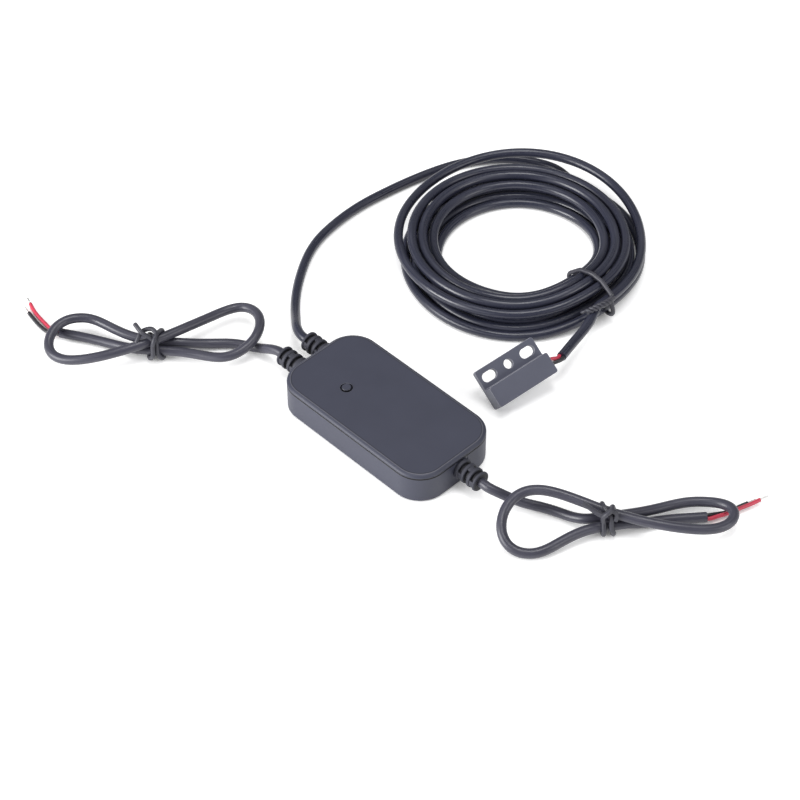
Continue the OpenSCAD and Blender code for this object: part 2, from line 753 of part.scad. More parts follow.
function last(list, back = 0) = list[len(list) - 1 - back];
function end_run(list) = last(list) - last(list, 1);
gnd_red_route = wire_route(gnd_waist, gnd_axis, gnd_red_places, 1, end_run(gnd_tail_places));
gnd_black_route = wire_route(gnd_waist, gnd_axis, gnd_black_places, -1, end_run(gnd_tail_places));
dc_red_route = wire_route(dc_waist, dc_axis, dc_red_places, -1, end_run(dc_tail_places));
dc_black_route = wire_route(dc_waist, dc_axis, dc_black_places, 1, end_run(dc_tail_places));

// Bare tinned strands that run on from the four open wire ends
module tinned_tips() {
    color(tin) for (route = [gnd_red_route, gnd_black_route, dc_red_route, dc_black_route])
        tube([last(route), last(route) + tip_l * unit(end_run(route))], tip_d / 2, 8);
}

// Hank ties: two turns round the waist with a knot and two short ends

tie_slack = 0.6;
tie_a = waist_w / 2 + cord_r + tie_clear + tie_r + tie_slack;
tie_top = waist_z + cross_rise + cord_r + tie_clear + tie_r + tie_slack;
tie_b = (tie_top - tie_r) / 2;
tie_step = tie_d + 0.7;

// A squarish loop: both axes follow a root of the cosine and the sine
function squarish(x, law = 3) = sign(x) * pow(abs(x), 2 / law);
function hank_tie_at(a) = [tie_step * (a - 450) / 360, tie_a * squarish(cos(a)),
    tie_r + tie_b + tie_b * squarish(sin(a))];
function hank_tie_path() = concat(
    [[-tie_step - 6.5, 3.2, tie_top + 2.6], [-tie_step - 1.6, tie_d, tie_top + 1.7]],
    [for (a = [105:15:795]) hank_tie_at(a)],
    [[tie_step - 2.2, -tie_d - 0.4, tie_top + 1.9], [tie_step - 6, -4.4, tie_top + 2.4]]);

// Its ends point along the hank on the given side of the waist
module hank_tie(waist, axis, side) {
    path = [for (p = hank_tie_path()) on_hank(waist, axis, [-side * p[0], p[1], p[2]])];
    color(black) tube(path, tie_r, 6, on_hank([0, 0, 0], axis, [1, 0, 0]));
}

module gnd_hank_tie() {
    hank_tie(gnd_waist, gnd_axis, 1);
}

module dc_hank_tie() {
    hank_tie(dc_waist, dc_axis, -1);
}

// Coil of the sensor cable: it spirals in on the floor, climbs in half a turn and spirals out on top

coil_mid = [-24.7, 88.4, 0];
coil_start = 100;
coil_last = 0;
coil_shift = [-3.7, 0.7, 0];
tie_turn = 1;
coil_lift = tie_d + 2 * tie_clear;
coil_in_r = coil_r - coil_turns * coil_step;
coil_all = coil_turns + 0.5 + coil_top_turns + (coil_start + 180 - coil_last) / 360;
coil_out_r = coil_in_r + coil_step * (coil_all - coil_turns - 0.5);

function coil_radius(n) = n < coil_turns ? coil_r - coil_step * n
    : n > coil_turns + 0.5 ? coil_in_r + coil_step * (n - coil_turns - 0.5)
    : coil_in_r - coil_step * (n - coil_turns) * (1 - 2 * (n - coil_turns));
function coil_climb(n) = min(1, max(0, 2 * (n - coil_turns)));
function from_tie(a) = (a - tie_turn + 180) - 360 * floor((a - tie_turn + 180) / 360) - 180;
// The last turn leaves the bundle on the far side, where it rises a little, and comes back at the tie
off_turn = 115;
off_wide = 85;
off_rise = 2;
end_off = 1.4;
// The tie draws the lower layer in
tie_pull = 3;
pull_wide = 80;
function coil_off(n, a) = n < coil_all - 0.8 ? 0 : hump(a - 360 * floor(a / 360), off_turn, off_wide);
function coil_at(n) =
    let (a = coil_start - 360 * n, up = coil_climb(n), off = coil_off(n, a),
        r = coil_radius(n),
        far = r + last_off * off + end_off * smooth((n - coil_all + 0.8) / 0.3)
            - (n < coil_turns ? tie_pull * hump(from_tie(a), 0, pull_wide) : 0),
        heap = coil_heap * sin(180 * max(0, min(1, (r - coil_in_r) / (coil_out_r - coil_in_r)))))
    coil_mid + smooth(1.8 * up) * coil_shift + [far * cos(a), far * sin(a), cord_r + up * layer_step
        + (n > coil_turns + 0.5 ? heap : 0) + off_rise * off + coil_lift * hump(from_tie(a), 0, 50)];
function coil_heading(n) = let (h = coil_at(n + 0.001) - coil_at(n - 0.001)) unit([h[0], h[1], 0]);
coil_from = coil_at(0) - cord_d * coil_heading(0);
coil_to = coil_at(coil_all) + cord_d * coil_heading(coil_all);
coil_steps = ceil(24 * coil_all);
coil_turns_path = [for (i = [0:coil_steps]) coil_at(coil_all * i / coil_steps)];
coil_route = concat([coil_from], coil_turns_path, [coil_to]);

// Sensor: held at its cable end, with its lowest corner on the floor
sensor_low = sensor_l / 2 * sin(sensor_rise) + sensor_w / 2 * sin(sensor_lean) * cos(sensor_rise);
sensor_mid = [15.1, 41.7, sensor_low];

module at_sensor() {
    translate(sensor_mid) rotate([sensor_lean, -sensor_rise, sensor_turn]) children();
}

function turn_x(p, a) = [p[0], p[1] * cos(a) - p[2] * sin(a), p[1] * sin(a) + p[2] * cos(a)];
function turn_y(p, a) = [p[0] * cos(a) + p[2] * sin(a), p[1], p[2] * cos(a) - p[0] * sin(a)];
function turn_z(p, a) = [p[0] * cos(a) - p[1] * sin(a), p[0] * sin(a) + p[1] * cos(a), p[2]];
function on_sensor(p) = sensor_mid + turn_z(turn_y(turn_x(p, sensor_lean), -sensor_rise), sensor_turn);

sensor_lead_places = [[-48, 6.8, 5.8], [-53, 10.6, 4], [-59.5, 16.2, 2.1], [-66, 23, 1.6], [-71.6, 30.4, 1.6],
    [-76, 37.5, 1.6], [-79.2, 45, 1.6], [-81, 53, 1.6], [-81.9, 61, 1.6], [-82, 69, 1.6], [-81.2, 78, 1.6],
    [-79.8, 87.5, 1.6], [-77.8, 97, 1.6], [-74.8, 106.5, 1.6], [-70, 115.5, 1.6], [-63.5, 123, 1.6],
    [-55.5, 128.6, 1.6], [-47, 131.8, 1.6]];
sensor_tail_places = [[16.5, 77.2, 7.1], [18.4, 70.4, 6.7], [19.9, 64.2, 6.9], [21, 60.2, 7.2], [21.8, 57.4, 7.5]];

module sensor_cord_lead() {
    color(jacket) tube(concat(through_boot(-1, sensor_port_y), sensor_lead_places,
        [coil_from - run_in * coil_heading(0), coil_from]), cord_r);
}

module sensor_cord_coil() {
    color(jacket) tube(coil_route, cord_r, 6);
}

sensor_tail_route = concat([coil_to, coil_to + run_in * coil_heading(coil_all)], sensor_tail_places);

module sensor_cord_tail() {
    color(jacket) tube(sensor_tail_route, cord_r);
}

// Wires from the cut jacket into the end of the sensor's block
exit_y = -sensor_w / 2 + (sensor_w - ear_w) / 2;
exit_z = sensor_t / 2;
wire_deep = 2;

function sensor_wire(side) =
    let (run = unit(end_run(sensor_tail_places)), out = unit(cross(run, [0, 0, 1])))
    [last(sensor_tail_places) - side * wire_side * out,
        last(sensor_tail_places) - side * wire_side * out + 1.2 * run,
        on_sensor([sensor_l / 2 + 1.4, exit_y - side * wire_side, exit_z]),
        on_sensor([sensor_l / 2 - wire_deep, exit_y - side * wire_side, exit_z])];

module sensor_red_wire() {
    color(red) tube(sensor_wire(-1), wire_r, 8);
}

module sensor_black_wire() {
    color(black) tube(sensor_wire(1), wire_r, 8);
}

// Coil tie: one turn round the bundle with its two ends twisted together outside
bundle_in = coil_in_r + coil_shift[0] - coil_step / 8 - cord_r;
bundle_out = coil_out_r + coil_shift[0] + end_off + cord_r;
coil_tie_a = (bundle_out - bundle_in) / 2 + 1.5 * tie_clear + tie_r;
coil_tie_top = cord_r + coil_lift + layer_step + coil_heap + cord_r + tie_clear + tie_r;
coil_tie_b = (coil_tie_top - tie_r) / 2;
coil_tie_mid = (bundle_out + bundle_in) / 2;

function on_coil(p) = coil_mid + [p[0] * cos(tie_turn) - p[1] * sin(tie_turn),
    p[0] * sin(tie_turn) + p[1] * cos(tie_turn), p[2]];
// Its inner half is an ellipse and its outer half is squarish
function coil_tie_at(a) =
    let (law = cos(a) < 0 ? 2 : 4)
    [coil_tie_mid + coil_tie_a * squarish(cos(a), law), (a - 150) / 360 * (tie_d + 0.6),
        tie_r + coil_tie_b + coil_tie_b * squarish(sin(a), law)];
coil_tie_path = concat(
    [[bundle_out + 1.6, -9.5, 1.4], [bundle_out + 1.9, -5.5, 2.2]],
    [for (a = [-15:15:330]) coil_tie_at(a)],
    [[bundle_out + 3, -0.8, 4], [bundle_out + 3.2, -5.8, 4.8]]);

module coil_tie() {
    color(black) tube([for (p = coil_tie_path) on_coil(p)], tie_r, 6, on_coil([0, 1, 0]) - coil_mid);
}

// Reed sensor: a moulded housing with a mounting flange, potted from below

block_w = sensor_w - ear_w;
pocket_l = sensor_l - 2 * pocket_wall;
pocket_w = block_w - 2 * pocket_wall;
pocket_h = sensor_t - pocket_wall;
reed_z = exit_z + 0.2;

// A round hole between two slots, all on one line along the flange
module mount_slots() {
    translate([0, sensor_w / 2 - slot_in, 0]) {
        circle(slot_d / 2);
        for (x = [-1, 1]) translate([x * slot_pitch / 2, 0, 0]) {
            square([slot_l - slot_d, slot_d], center = true);
            for (s = [-1, 1]) translate([s * (slot_l - slot_d) / 2, 0, 0]) circle(slot_d / 2);
        }
    }
}

module sensor_housing() {
    edge_r = 0.8;
    color("#3c3e44") at_sensor() difference() {
        union() {
            linear_extrude(ear_t) difference() {
                round_rect(sensor_l, sensor_w, edge_r);
                mount_slots();
            }
            translate([0, exit_y, ear_t]) linear_extrude(sensor_t - ear_t)
                round_rect(sensor_l, block_w, edge_r);
        }
        translate([-pocket_l / 2, exit_y - pocket_w / 2, -1]) cube([pocket_l, pocket_w, pocket_h + 1]);
        for (s = [-1, 1]) translate([sensor_l / 2 - 2 * pocket_wall, exit_y + s * wire_side, exit_z])
            rotate([0, 90, 0]) cylinder(h = 4 * pocket_wall, r = wire_r + wire_gap / 3);
    }
}

return_z = reed_z - reed_d / 2 - 0.6;
lead_x = reed_l / 2 + 1.6;

module reed_leads(r) {
    translate([0, exit_y, reed_z]) rotate([0, 90, 0]) {
        translate([0, 0, reed_l / 2]) cylinder(h = 1.6, r = r);
        translate([0, 0, -lead_x]) cylinder(h = 1.6, r = r);
    }
    translate([-lead_x, exit_y, return_z - r]) cylinder(h = reed_z - return_z + 2 * r, r = r);
    translate([-lead_x - r, exit_y, return_z]) rotate([0, 90, 0]) cylinder(h = 2 * lead_x + r, r = r);
}

module sensor_potting() {
    slack = 0.05;
    color("#26272a") at_sensor() difference() {
        translate([-pocket_l / 2, exit_y - pocket_w / 2, 0.2]) cube([pocket_l, pocket_w, pocket_h - 0.2]);
        translate([-reed_l / 2 - slack, exit_y, reed_z]) rotate([0, 90, 0])
            cylinder(h = reed_l + 2 * slack, r = reed_d / 2 + slack);
        reed_leads(lead_d / 2 + slack);
        for (s = [-1, 1]) translate([sensor_l / 2 - wire_deep, exit_y + s * wire_side, exit_z])
            rotate([0, 90, 0]) cylinder(h = 2 * wire_deep, r = wire_r + wire_gap / 3);
    }
}

module reed_tube() {
    glass_t = 0.3;
    color("#a8d0c8") at_sensor() translate([-reed_l / 2, exit_y, reed_z]) rotate([0, 90, 0]) difference() {
        cylinder(h = reed_l, r = reed_d / 2);
        translate([0, 0, 1]) cylinder(h = reed_l - 2, r = reed_d / 2 - glass_t);
        translate([0, 0, -1]) cylinder(h = reed_l + 2, r = lead_d / 2 + 0.02);
    }
}

// Two flat blades that overlap with a small gap inside the glass, each with its round lead
module reed_blades() {
    blade_w = 1;
    blade_t = 0.18;
    blade_gap = 0.1;
    overlap = 1.6;
    color(tin) at_sensor() {
        reed_leads(lead_d / 2);
        for (s = [-1, 1]) translate([0, exit_y, reed_z]) {
            rotate([0, s * 90, 0]) translate([0, 0, reed_l / 2 - 1.6]) cylinder(h = 1.7, r = lead_d / 2);
            translate([s > 0 ? -overlap / 2 : 1.5 - reed_l / 2, -blade_w / 2,
                s * (blade_t + blade_gap) / 2 - blade_t / 2])
                cube([reed_l / 2 - 1.5 + overlap / 2, blade_w, blade_t]);
        }
    }
}

// Least gaps of the wound cables to themselves
echo(coil_self_gap = self_gap(coil_turns_path, 12, cord_d));
echo(gnd_hank_self_gap = self_gap([for (t = [180:2:540]) bow_at(gnd_bow, t)], 22, cord_d));
echo(dc_hank_self_gap = self_gap([for (t = [180:2:540]) bow_at(dc_bow, t)], 22, cord_d));
echo(hank_tie_self_gap = self_gap(hank_tie_path(), 8, tie_d));
echo(coil_tie_self_gap = self_gap(coil_tie_path, 8, tie_d));

bottom_case();
top_cover();
button_cap();
switch_plunger();
switch_dome();
switch_base();
switch_plate();
circuit_board();
board_screws();
wifi_board();
wifi_shield();
relay();
capacitor();
inductor();
regulator();
input_diode();
chip_parts();
inner_red_wires();
inner_black_wires();
solder_joints();
gnd_strain_relief();
sensor_strain_relief();
dc_strain_relief();
gnd_cord_lead();
gnd_cord_hank();
gnd_cord_tail();
gnd_hank_tie();
gnd_red_wire();
gnd_black_wire();
dc_cord_lead();
dc_cord_hank();
dc_cord_tail();
dc_hank_tie();
dc_red_wire();
dc_black_wire();
tinned_tips();
sensor_cord_lead();
sensor_cord_coil();
sensor_cord_tail();
coil_tie();
sensor_red_wire();
sensor_black_wire();
sensor_housing();
sensor_potting();
reed_tube();
reed_blades();
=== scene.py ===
"""Garage door controller: finishes, cables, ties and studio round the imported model."""

import math

import bpy
import numpy as np
from mathutils import Euler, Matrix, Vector


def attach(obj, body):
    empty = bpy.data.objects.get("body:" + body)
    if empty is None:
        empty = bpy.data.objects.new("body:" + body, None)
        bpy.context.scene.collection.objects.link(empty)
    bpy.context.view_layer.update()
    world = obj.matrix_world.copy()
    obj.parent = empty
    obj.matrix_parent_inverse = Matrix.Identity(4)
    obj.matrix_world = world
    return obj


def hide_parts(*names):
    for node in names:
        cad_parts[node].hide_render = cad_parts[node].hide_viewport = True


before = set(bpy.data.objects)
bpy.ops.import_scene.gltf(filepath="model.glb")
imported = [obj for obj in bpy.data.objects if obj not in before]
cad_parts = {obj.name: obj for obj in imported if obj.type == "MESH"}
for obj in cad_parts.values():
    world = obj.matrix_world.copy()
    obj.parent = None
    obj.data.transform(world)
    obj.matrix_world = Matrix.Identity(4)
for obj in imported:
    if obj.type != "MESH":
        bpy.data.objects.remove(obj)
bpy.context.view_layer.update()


# Case and cover
# Two shells of dark slate ABS, moulded with a fine spark-eroded matt skin. They meet in a thin groove,
# painted black as shade, and snap together. The cover's flat top ends in a crisp line above its rounded
# edge band, with a painted highlight line on the break and a painted shade line just inside it.

SLATE = (0.044, 0.047, 0.073)
SLATE_EDGE_HIGHLIGHT = (0.12, 0.12, 0.15)
SLATE_HIGHLIGHT_LINE = (0.095, 0.096, 0.120)
SLATE_PAINTED_SHADE = (0.022, 0.024, 0.038)
PAINTED_SHADE_BLACK = (0.006, 0.006, 0.008)
CASE_L, CASE_W, CORNER_R = 0.065, 0.0345, 0.0094
SEAM_Z, SEAM_SHADE_SPAN = 0.009875, (0.00034, 0.00024)
TOP_EDGE, PAINTED_LINE_SPAN, SHADE_LINE_SHIFT = 0.00115, (0.0002, 0.0001), -0.0003
EDGE_PAINT_SPAN = (0.995, 0.90)
GLOSS_SWING = 0.1


def colour(rgb):
    """The same colour with full cover as its fourth value."""
    return (*rgb, 1.0)


def wire_up(tree, pairs):
    """Links each pair of sockets of a node tree, from the first to the second."""
    for source, target in pairs:
        tree.links.new(source, target)


def maths(tree, operation, *terms):
    """Output of a maths node, each term a socket or a number."""
    node = tree.nodes.new("ShaderNodeMath")
    node.operation = operation
    for socket, term in zip(node.inputs, terms):
        if isinstance(term, (int, float)):
            socket.default_value = term
        else:
            tree.links.new(term, socket)
    return node.outputs[0]


def skin_group():
    """Skin of a moulding: fine noise makes the height, wide noise the mottling of colour and gloss.

    Height is the fine noise. Colour is the given colour, made lighter or darker by the wide noise times
    the mottle. Roughness is the given value plus a tenth of both noises, each less its mean.
    """
    group = bpy.data.node_groups.new("moulded_skin", "ShaderNodeTree")
    for name, kind, value in (
        ("Colour", "NodeSocketColor", colour(SLATE)),
        ("Roughness", "NodeSocketFloat", 0.5),
        ("Grain", "NodeSocketFloat", 2500.0),
        ("Mottle", "NodeSocketFloat", 0.2),
    ):
        group.interface.new_socket(name, in_out="INPUT", socket_type=kind).default_value = value
    for name, kind in (
        ("Colour", "NodeSocketColor"),
        ("Roughness", "NodeSocketFloat"),
        ("Height", "NodeSocketFloat"),
    ):
        group.interface.new_socket(name, in_out="OUTPUT", socket_type=kind)
    given = group.nodes.new("NodeGroupInput")
    result = group.nodes.new("NodeGroupOutput")
    place = group.nodes.new("ShaderNodeTexCoord")
    fine = group.nodes.new("ShaderNodeTexNoise")
    fine.inputs["Detail"].default_value = 3.0
    wide = group.nodes.new("ShaderNodeTexNoise")
    wide.inputs["Scale"].default_value = 90.0
    wide.inputs["Detail"].default_value = 4.0
    wire_up(group, [
        (place.outputs["Object"], fine.inputs["Vector"]),
        (given.outputs["Grain"], fine.inputs["Scale"]),
        (place.outputs["Object"], wide.inputs["Vector"]),
        (fine.outputs["Fac"], result.inputs["Height"]),
    ])
    swing = maths(group, "SUBTRACT", wide.outputs["Fac"], 0.5)
    shade = maths(group, "MULTIPLY_ADD", swing, given.outputs["Mottle"], 1.0)
    tint = group.nodes.new("ShaderNodeVectorMath")
    tint.operation = "SCALE"
    both = maths(group, "ADD", fine.outputs["Fac"], wide.outputs["Fac"])
    gloss = maths(group, "MULTIPLY_ADD", both, GLOSS_SWING, given.outputs["Roughness"])
    wire_up(group, [
        (given.outputs["Colour"], tint.inputs[0]),
        (shade, tint.inputs["Scale"]),
        (tint.outputs["Vector"], result.inputs["Colour"]),
        (maths(group, "SUBTRACT", gloss, GLOSS_SWING), result.inputs["Roughness"]),
    ])
    return group


MOULDED_SKIN = skin_group()


def moulded(name, rgb, roughness, grain=2500.0, mottle=0.2, depth=0.00002, edge_r=0.0, edge_paint_rgb=None):
    """Moulded plastic or rubber: the skin group's colour, gloss and bump, with rounded edges.

    Where an edge colour is given, edges are rounded in shading by a bevelled normal of radius edge_r.
    Where that normal leaves the face's own, the colour goes towards the edge colour: a painted
    highlight where it is lighter, painted shade where it is darker.
    """
    material = bpy.data.materials.new(name)
    material.use_nodes = True
    tree = material.node_tree
    shader = tree.nodes["Principled BSDF"]
    skin = tree.nodes.new("ShaderNodeGroup")
    skin.node_tree = MOULDED_SKIN
    skin.inputs["Colour"].default_value = colour(rgb)
    skin.inputs["Roughness"].default_value = roughness
    skin.inputs["Grain"].default_value = grain
    skin.inputs["Mottle"].default_value = mottle
    bump = tree.nodes.new("ShaderNodeBump")
    bump.inputs["Distance"].default_value = depth
    bump.inputs["Strength"].default_value = 0.6
    wire_up(tree, [
        (skin.outputs["Colour"], shader.inputs["Base Color"]),
        (skin.outputs["Roughness"], shader.inputs["Roughness"]),
        (skin.outputs["Height"], bump.inputs["Height"]),
        (bump.outputs["Normal"], shader.inputs["Normal"]),
    ])
    if edge_paint_rgb is None:
        return material
    edge = tree.nodes.new("ShaderNodeBevel")
    edge.samples = 8
    edge.inputs["Radius"].default_value = edge_r
    face = tree.nodes.new("ShaderNodeNewGeometry")
    along = tree.nodes.new("ShaderNodeVectorMath")
    along.operation = "DOT_PRODUCT"
    wire_up(tree, [
        (edge.outputs["Normal"], bump.inputs["Normal"]),
        (edge.outputs["Normal"], along.inputs[0]),
        (face.outputs["Normal"], along.inputs[1]),
    ])
    # Painted light on the edges: towards the edge colour where the bevelled normal turns away from the
    # face's.
    tone(material, along.outputs["Value"], EDGE_PAINT_SPAN, edge_paint_rgb)
    return material


def tone(material, value, span, rgb):
    """Takes a material's colour towards rgb as a value goes from the span's first end to its second."""
    tree = material.node_tree
    target = tree.nodes["Principled BSDF"].inputs["Base Color"]
    before = target.links[0].from_socket
    reach = tree.nodes.new("ShaderNodeMapRange")
    reach.inputs["From Min"].default_value = span[0]
    reach.inputs["From Max"].default_value = span[1]
    mix = tree.nodes.new("ShaderNodeMix")
    mix.data_type = "RGBA"
    mix.inputs["B"].default_value = colour(rgb)
    wire_up(tree, [
        (value, reach.inputs["Value"]),
        (reach.outputs["Result"], mix.inputs["Factor"]),
        (before, mix.inputs["A"]),
        (mix.outputs["Result"], target),
    ])


def outline_group():
    """Distance of a place from the case's outline in plan, negative inside, and its height.

    With the place's distances past the corner centres along X and Y, it is the length of their positive
    parts, plus the larger of the two where both are negative, less the corner radius.
    """
    group = bpy.data.node_groups.new("case_outline", "ShaderNodeTree")
    for name in ("Distance", "Height"):
        group.interface.new_socket(name, in_out="OUTPUT", socket_type="NodeSocketFloat")
    result = group.nodes.new("NodeGroupOutput")
    place = group.nodes.new("ShaderNodeTexCoord")
    axes = group.nodes.new("ShaderNodeSeparateXYZ")
    group.links.new(place.outputs["Object"], axes.inputs["Vector"])
    x = maths(group, "SUBTRACT", maths(group, "ABSOLUTE", axes.outputs["X"]), CASE_L / 2 - CORNER_R)
    y = maths(group, "SUBTRACT", maths(group, "ABSOLUTE", axes.outputs["Y"]), CASE_W / 2 - CORNER_R)
    out_x, out_y = maths(group, "MAXIMUM", x, 0.0), maths(group, "MAXIMUM", y, 0.0)
    square = maths(group, "MULTIPLY_ADD", out_x, out_x, maths(group, "MULTIPLY", out_y, out_y))
    inside = maths(group, "MINIMUM", maths(group, "MAXIMUM", x, y), 0.0)
    total = maths(group, "ADD", maths(group, "SQRT", square), inside)
    group.links.new(maths(group, "SUBTRACT", total, CORNER_R), result.inputs["Distance"])
    group.links.new(axes.outputs["Z"], result.inputs["Height"])
    return group


CASE_OUTLINE = outline_group()


def case_finish(name, top):
    """The case's plastic, with its edges painted lighter as highlight and painted black as shade in the
    groove. The cover also has a painted shade line and a painted highlight line, where its flat top
    breaks to the edge band."""
    # Every edge is painted lighter: a painted highlight.
    material = moulded(name, SLATE, 0.5, edge_r=0.0003, edge_paint_rgb=SLATE_EDGE_HIGHLIGHT)
    tree = material.node_tree
    outline = tree.nodes.new("ShaderNodeGroup")
    outline.node_tree = CASE_OUTLINE
    # Painted lines where the cover's flat top breaks to the edge band: shade just inside, a highlight
    # on the break.
    if top:
        for shift, rgb in ((SHADE_LINE_SHIFT, SLATE_PAINTED_SHADE), (0.0, SLATE_HIGHLIGHT_LINE)):
            from_line = maths(tree, "ADD", outline.outputs["Distance"], TOP_EDGE - shift)
            tone(material, maths(tree, "ABSOLUTE", from_line), PAINTED_LINE_SPAN, rgb)
    # Painted shade: black along the groove between the shells.
    from_seam = maths(tree, "SUBTRACT", outline.outputs["Height"], SEAM_Z)
    tone(material, maths(tree, "ABSOLUTE", from_seam), SEAM_SHADE_SPAN, PAINTED_SHADE_BLACK)
    return material


def dress(finish, *names):
    """Puts a finish on CAD nodes."""
    for name in names:
        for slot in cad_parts[name].material_slots:
            slot.material = finish


dress(case_finish("case_abs", False), "bottom_case")
dress(case_finish("cover_abs", True), "top_cover")


# Push button
# A small round cap of the case's ABS that stands a little proud in its hole and is kept in by a flange.
# The switch plunger under it is of the same plastic.

UPRIGHT_SHADE_SPAN = (0.85, 0.5)


def button_finish():
    """The case's plastic, with its edges painted darker as shade, and painted black as shade on the
    upright side of the cap, where no light reaches into the gap.
    """
    # The cap's edges are painted darker: painted shade.
    material = moulded("button_abs", SLATE, 0.45, edge_r=0.0002, edge_paint_rgb=SLATE_PAINTED_SHADE)
    tree = material.node_tree
    face = tree.nodes.new("ShaderNodeNewGeometry")
    axes = tree.nodes.new("ShaderNodeSeparateXYZ")
    tree.links.new(face.outputs["Normal"], axes.inputs["Vector"])
    # Painted shade: black where the cap's face stands upright, in the gap round it.
    tone(material, axes.outputs["Z"], UPRIGHT_SHADE_SPAN, PAINTED_SHADE_BLACK)
    return material


dress(button_finish(), "button_cap", "switch_plunger")


# Circuit board and its parts
# Hidden in the closed case: a green board on posts, a radio module under a metal can, a relay, the
# supply's parts and the push switch. Each keeps the plain finish of its kind.

def metal(name, rgb, roughness, grain):
    """Plain sheet metal or tin: gloss that varies with fine streaks, noise drawn out along X."""
    material = bpy.data.materials.new(name)
    material.use_nodes = True
    tree = material.node_tree
    shader = tree.nodes["Principled BSDF"]
    shader.inputs["Base Color"].default_value = colour(rgb)
    shader.inputs["Metallic"].default_value = 1.0
    place = tree.nodes.new("ShaderNodeTexCoord")
    turn = tree.nodes.new("ShaderNodeMapping")
    turn.inputs["Scale"].default_value = (0.1, 1.0, 1.0)
    streaks = tree.nodes.new("ShaderNodeTexNoise")
    streaks.inputs["Scale"].default_value = grain
    gloss = tree.nodes.new("ShaderNodeMapRange")
    gloss.inputs["To Min"].default_value = roughness * 0.7
    gloss.inputs["To Max"].default_value = roughness * 1.3
    wire_up(tree, [
        (place.outputs["Object"], turn.inputs["Vector"]),
        (turn.outputs["Vector"], streaks.inputs["Vector"]),
        (streaks.outputs["Fac"], gloss.inputs["Value"]),
        (gloss.outputs["Result"], shader.inputs["Roughness"]),
    ])
    return material


def glass(name, rgb):
    """Clear glass with a faint tint."""
    material = bpy.data.materials.new(name)
    material.use_nodes = True
    shader = material.node_tree.nodes["Principled BSDF"]
    shader.inputs["Base Color"].default_value = colour(rgb)
    shader.inputs["Transmission Weight"].default_value = 1.0
    shader.inputs["Roughness"].default_value = 0.05
    return material


for mask, rgb, board in (
    ("green_solder_mask", (0.012, 0.10, 0.045), "circuit_board"),
    ("blue_solder_mask", (0.008, 0.03, 0.09), "wifi_board"),
):
    dress(moulded(mask, rgb, 0.35, grain=900.0, mottle=0.5), board)
dress(moulded("relay_cream", (0.75, 0.71, 0.60), 0.45), "relay")
dress(moulded("package_epoxy", (0.014, 0.014, 0.016), 0.5), "regulator", "input_diode", "switch_base")
dress(moulded("choke_ferrite", (0.06, 0.06, 0.065), 0.7, depth=0.00004), "inductor")
dress(moulded("chip_ceramic", (0.36, 0.27, 0.17), 0.5), "chip_parts")
dress(metal("can_sheet", (0.72, 0.72, 0.70), 0.3, 4000.0), "wifi_shield", "switch_plate", "switch_dome")
dress(metal("can_aluminium", (0.80, 0.80, 0.81), 0.35, 3000.0), "capacitor")
dress(metal("zinc_screw", (0.62, 0.62, 0.60), 0.35, 3000.0), "board_screws")
dress(metal("solder", (0.74, 0.74, 0.75), 0.25, 1500.0), "solder_joints", "reed_blades")
dress(glass("reed_glass", (0.80, 0.93, 0.90)), "reed_tube")


# Cables
# Three round two-core leads with a satin dark grey PVC jacket, 3.2 mm thick. Each runs through its
# strain relief and lies on the table. Two are tied in a hank, the third is wound in a coil.

MM = 0.001
CORD_R = 1.6
WIRE_R = 0.65
TIE_R = 0.75
CORD_SIDES, WIRE_SIDES, TIE_SIDES = 20, 16, 12
SHARP_ANGLE = 50
JACKET_CUT, CASE_END, BOOT_END, STRAIGHT_END = 27.9, 32.5, 41.2, 44.2
PORT_Z = 6.2
GND_Y, SENSOR_Y, DC_Y = -4.8, 5.4, 0.6
STREAK_SPAN = (0.52, 0.8)
JACKET = (0.050, 0.0495, 0.070)
RED = (0.62, 0.055, 0.098)
BLACK = (0.030, 0.030, 0.036)


def smooth_route(points, step):
    """Even points along the natural cubic spline through given points, by chord length.

    The spline's second derivatives solve the usual three-term system, with zero at both ends. It is
    read at a quarter of the step, and then at even lengths along itself.
    """
    points = np.asarray(points, float)
    s = np.r_[0, np.cumsum(np.linalg.norm(np.diff(points, axis=0), axis=1))]
    h = np.diff(s)
    slope = np.diff(points, axis=0) / h[:, None]
    system = np.diag(np.r_[1, 2 * (h[:-1] + h[1:]), 1])
    system += np.diag(np.r_[h[:-1], 0], -1) + np.diag(np.r_[0, h[1:]], 1)
    curl = np.linalg.solve(system, np.r_[[[0, 0, 0]], 6 * np.diff(slope, axis=0), [[0, 0, 0]]])
    at = np.linspace(0, s[-1], int(4 * s[-1] / step) + 2)
    i = np.clip(np.searchsorted(s, at) - 1, 0, len(h) - 1)
    left, right, width = (at - s[i])[:, None], (s[i + 1] - at)[:, None], h[i][:, None]
    line = (curl[i] * right ** 3 + curl[i + 1] * left ** 3) / (6 * width)
    line += (points[i] / width - curl[i] * width / 6) * right
    line += (points[i + 1] / width - curl[i + 1] * width / 6) * left
    run = np.r_[0, np.cumsum(np.linalg.norm(np.diff(line, axis=0), axis=1))]
    even = np.linspace(0, run[-1], int(run[-1] / step) + 2)
    return np.stack([np.interp(even, run, axis) for axis in line.T], axis=1)


def tube_rings(line, radius, sides, up=(0, 0, 1)):
    """Rings of a tube: at each point, a circle square to the line, set out from the up direction."""
    ahead = np.gradient(line, axis=0)
    ahead /= np.linalg.norm(ahead, axis=1, keepdims=True)
    across = np.cross(ahead, up)
    across /= np.linalg.norm(across, axis=1, keepdims=True)
    over = np.cross(ahead, across)
    turn = np.linspace(0, 2 * math.pi, sides, endpoint=False)
    circle = np.cos(turn)[:, None] * across[:, None] + np.sin(turn)[:, None] * over[:, None]
    return line[:, None] + np.broadcast_to(radius, len(line))[:, None, None] * circle


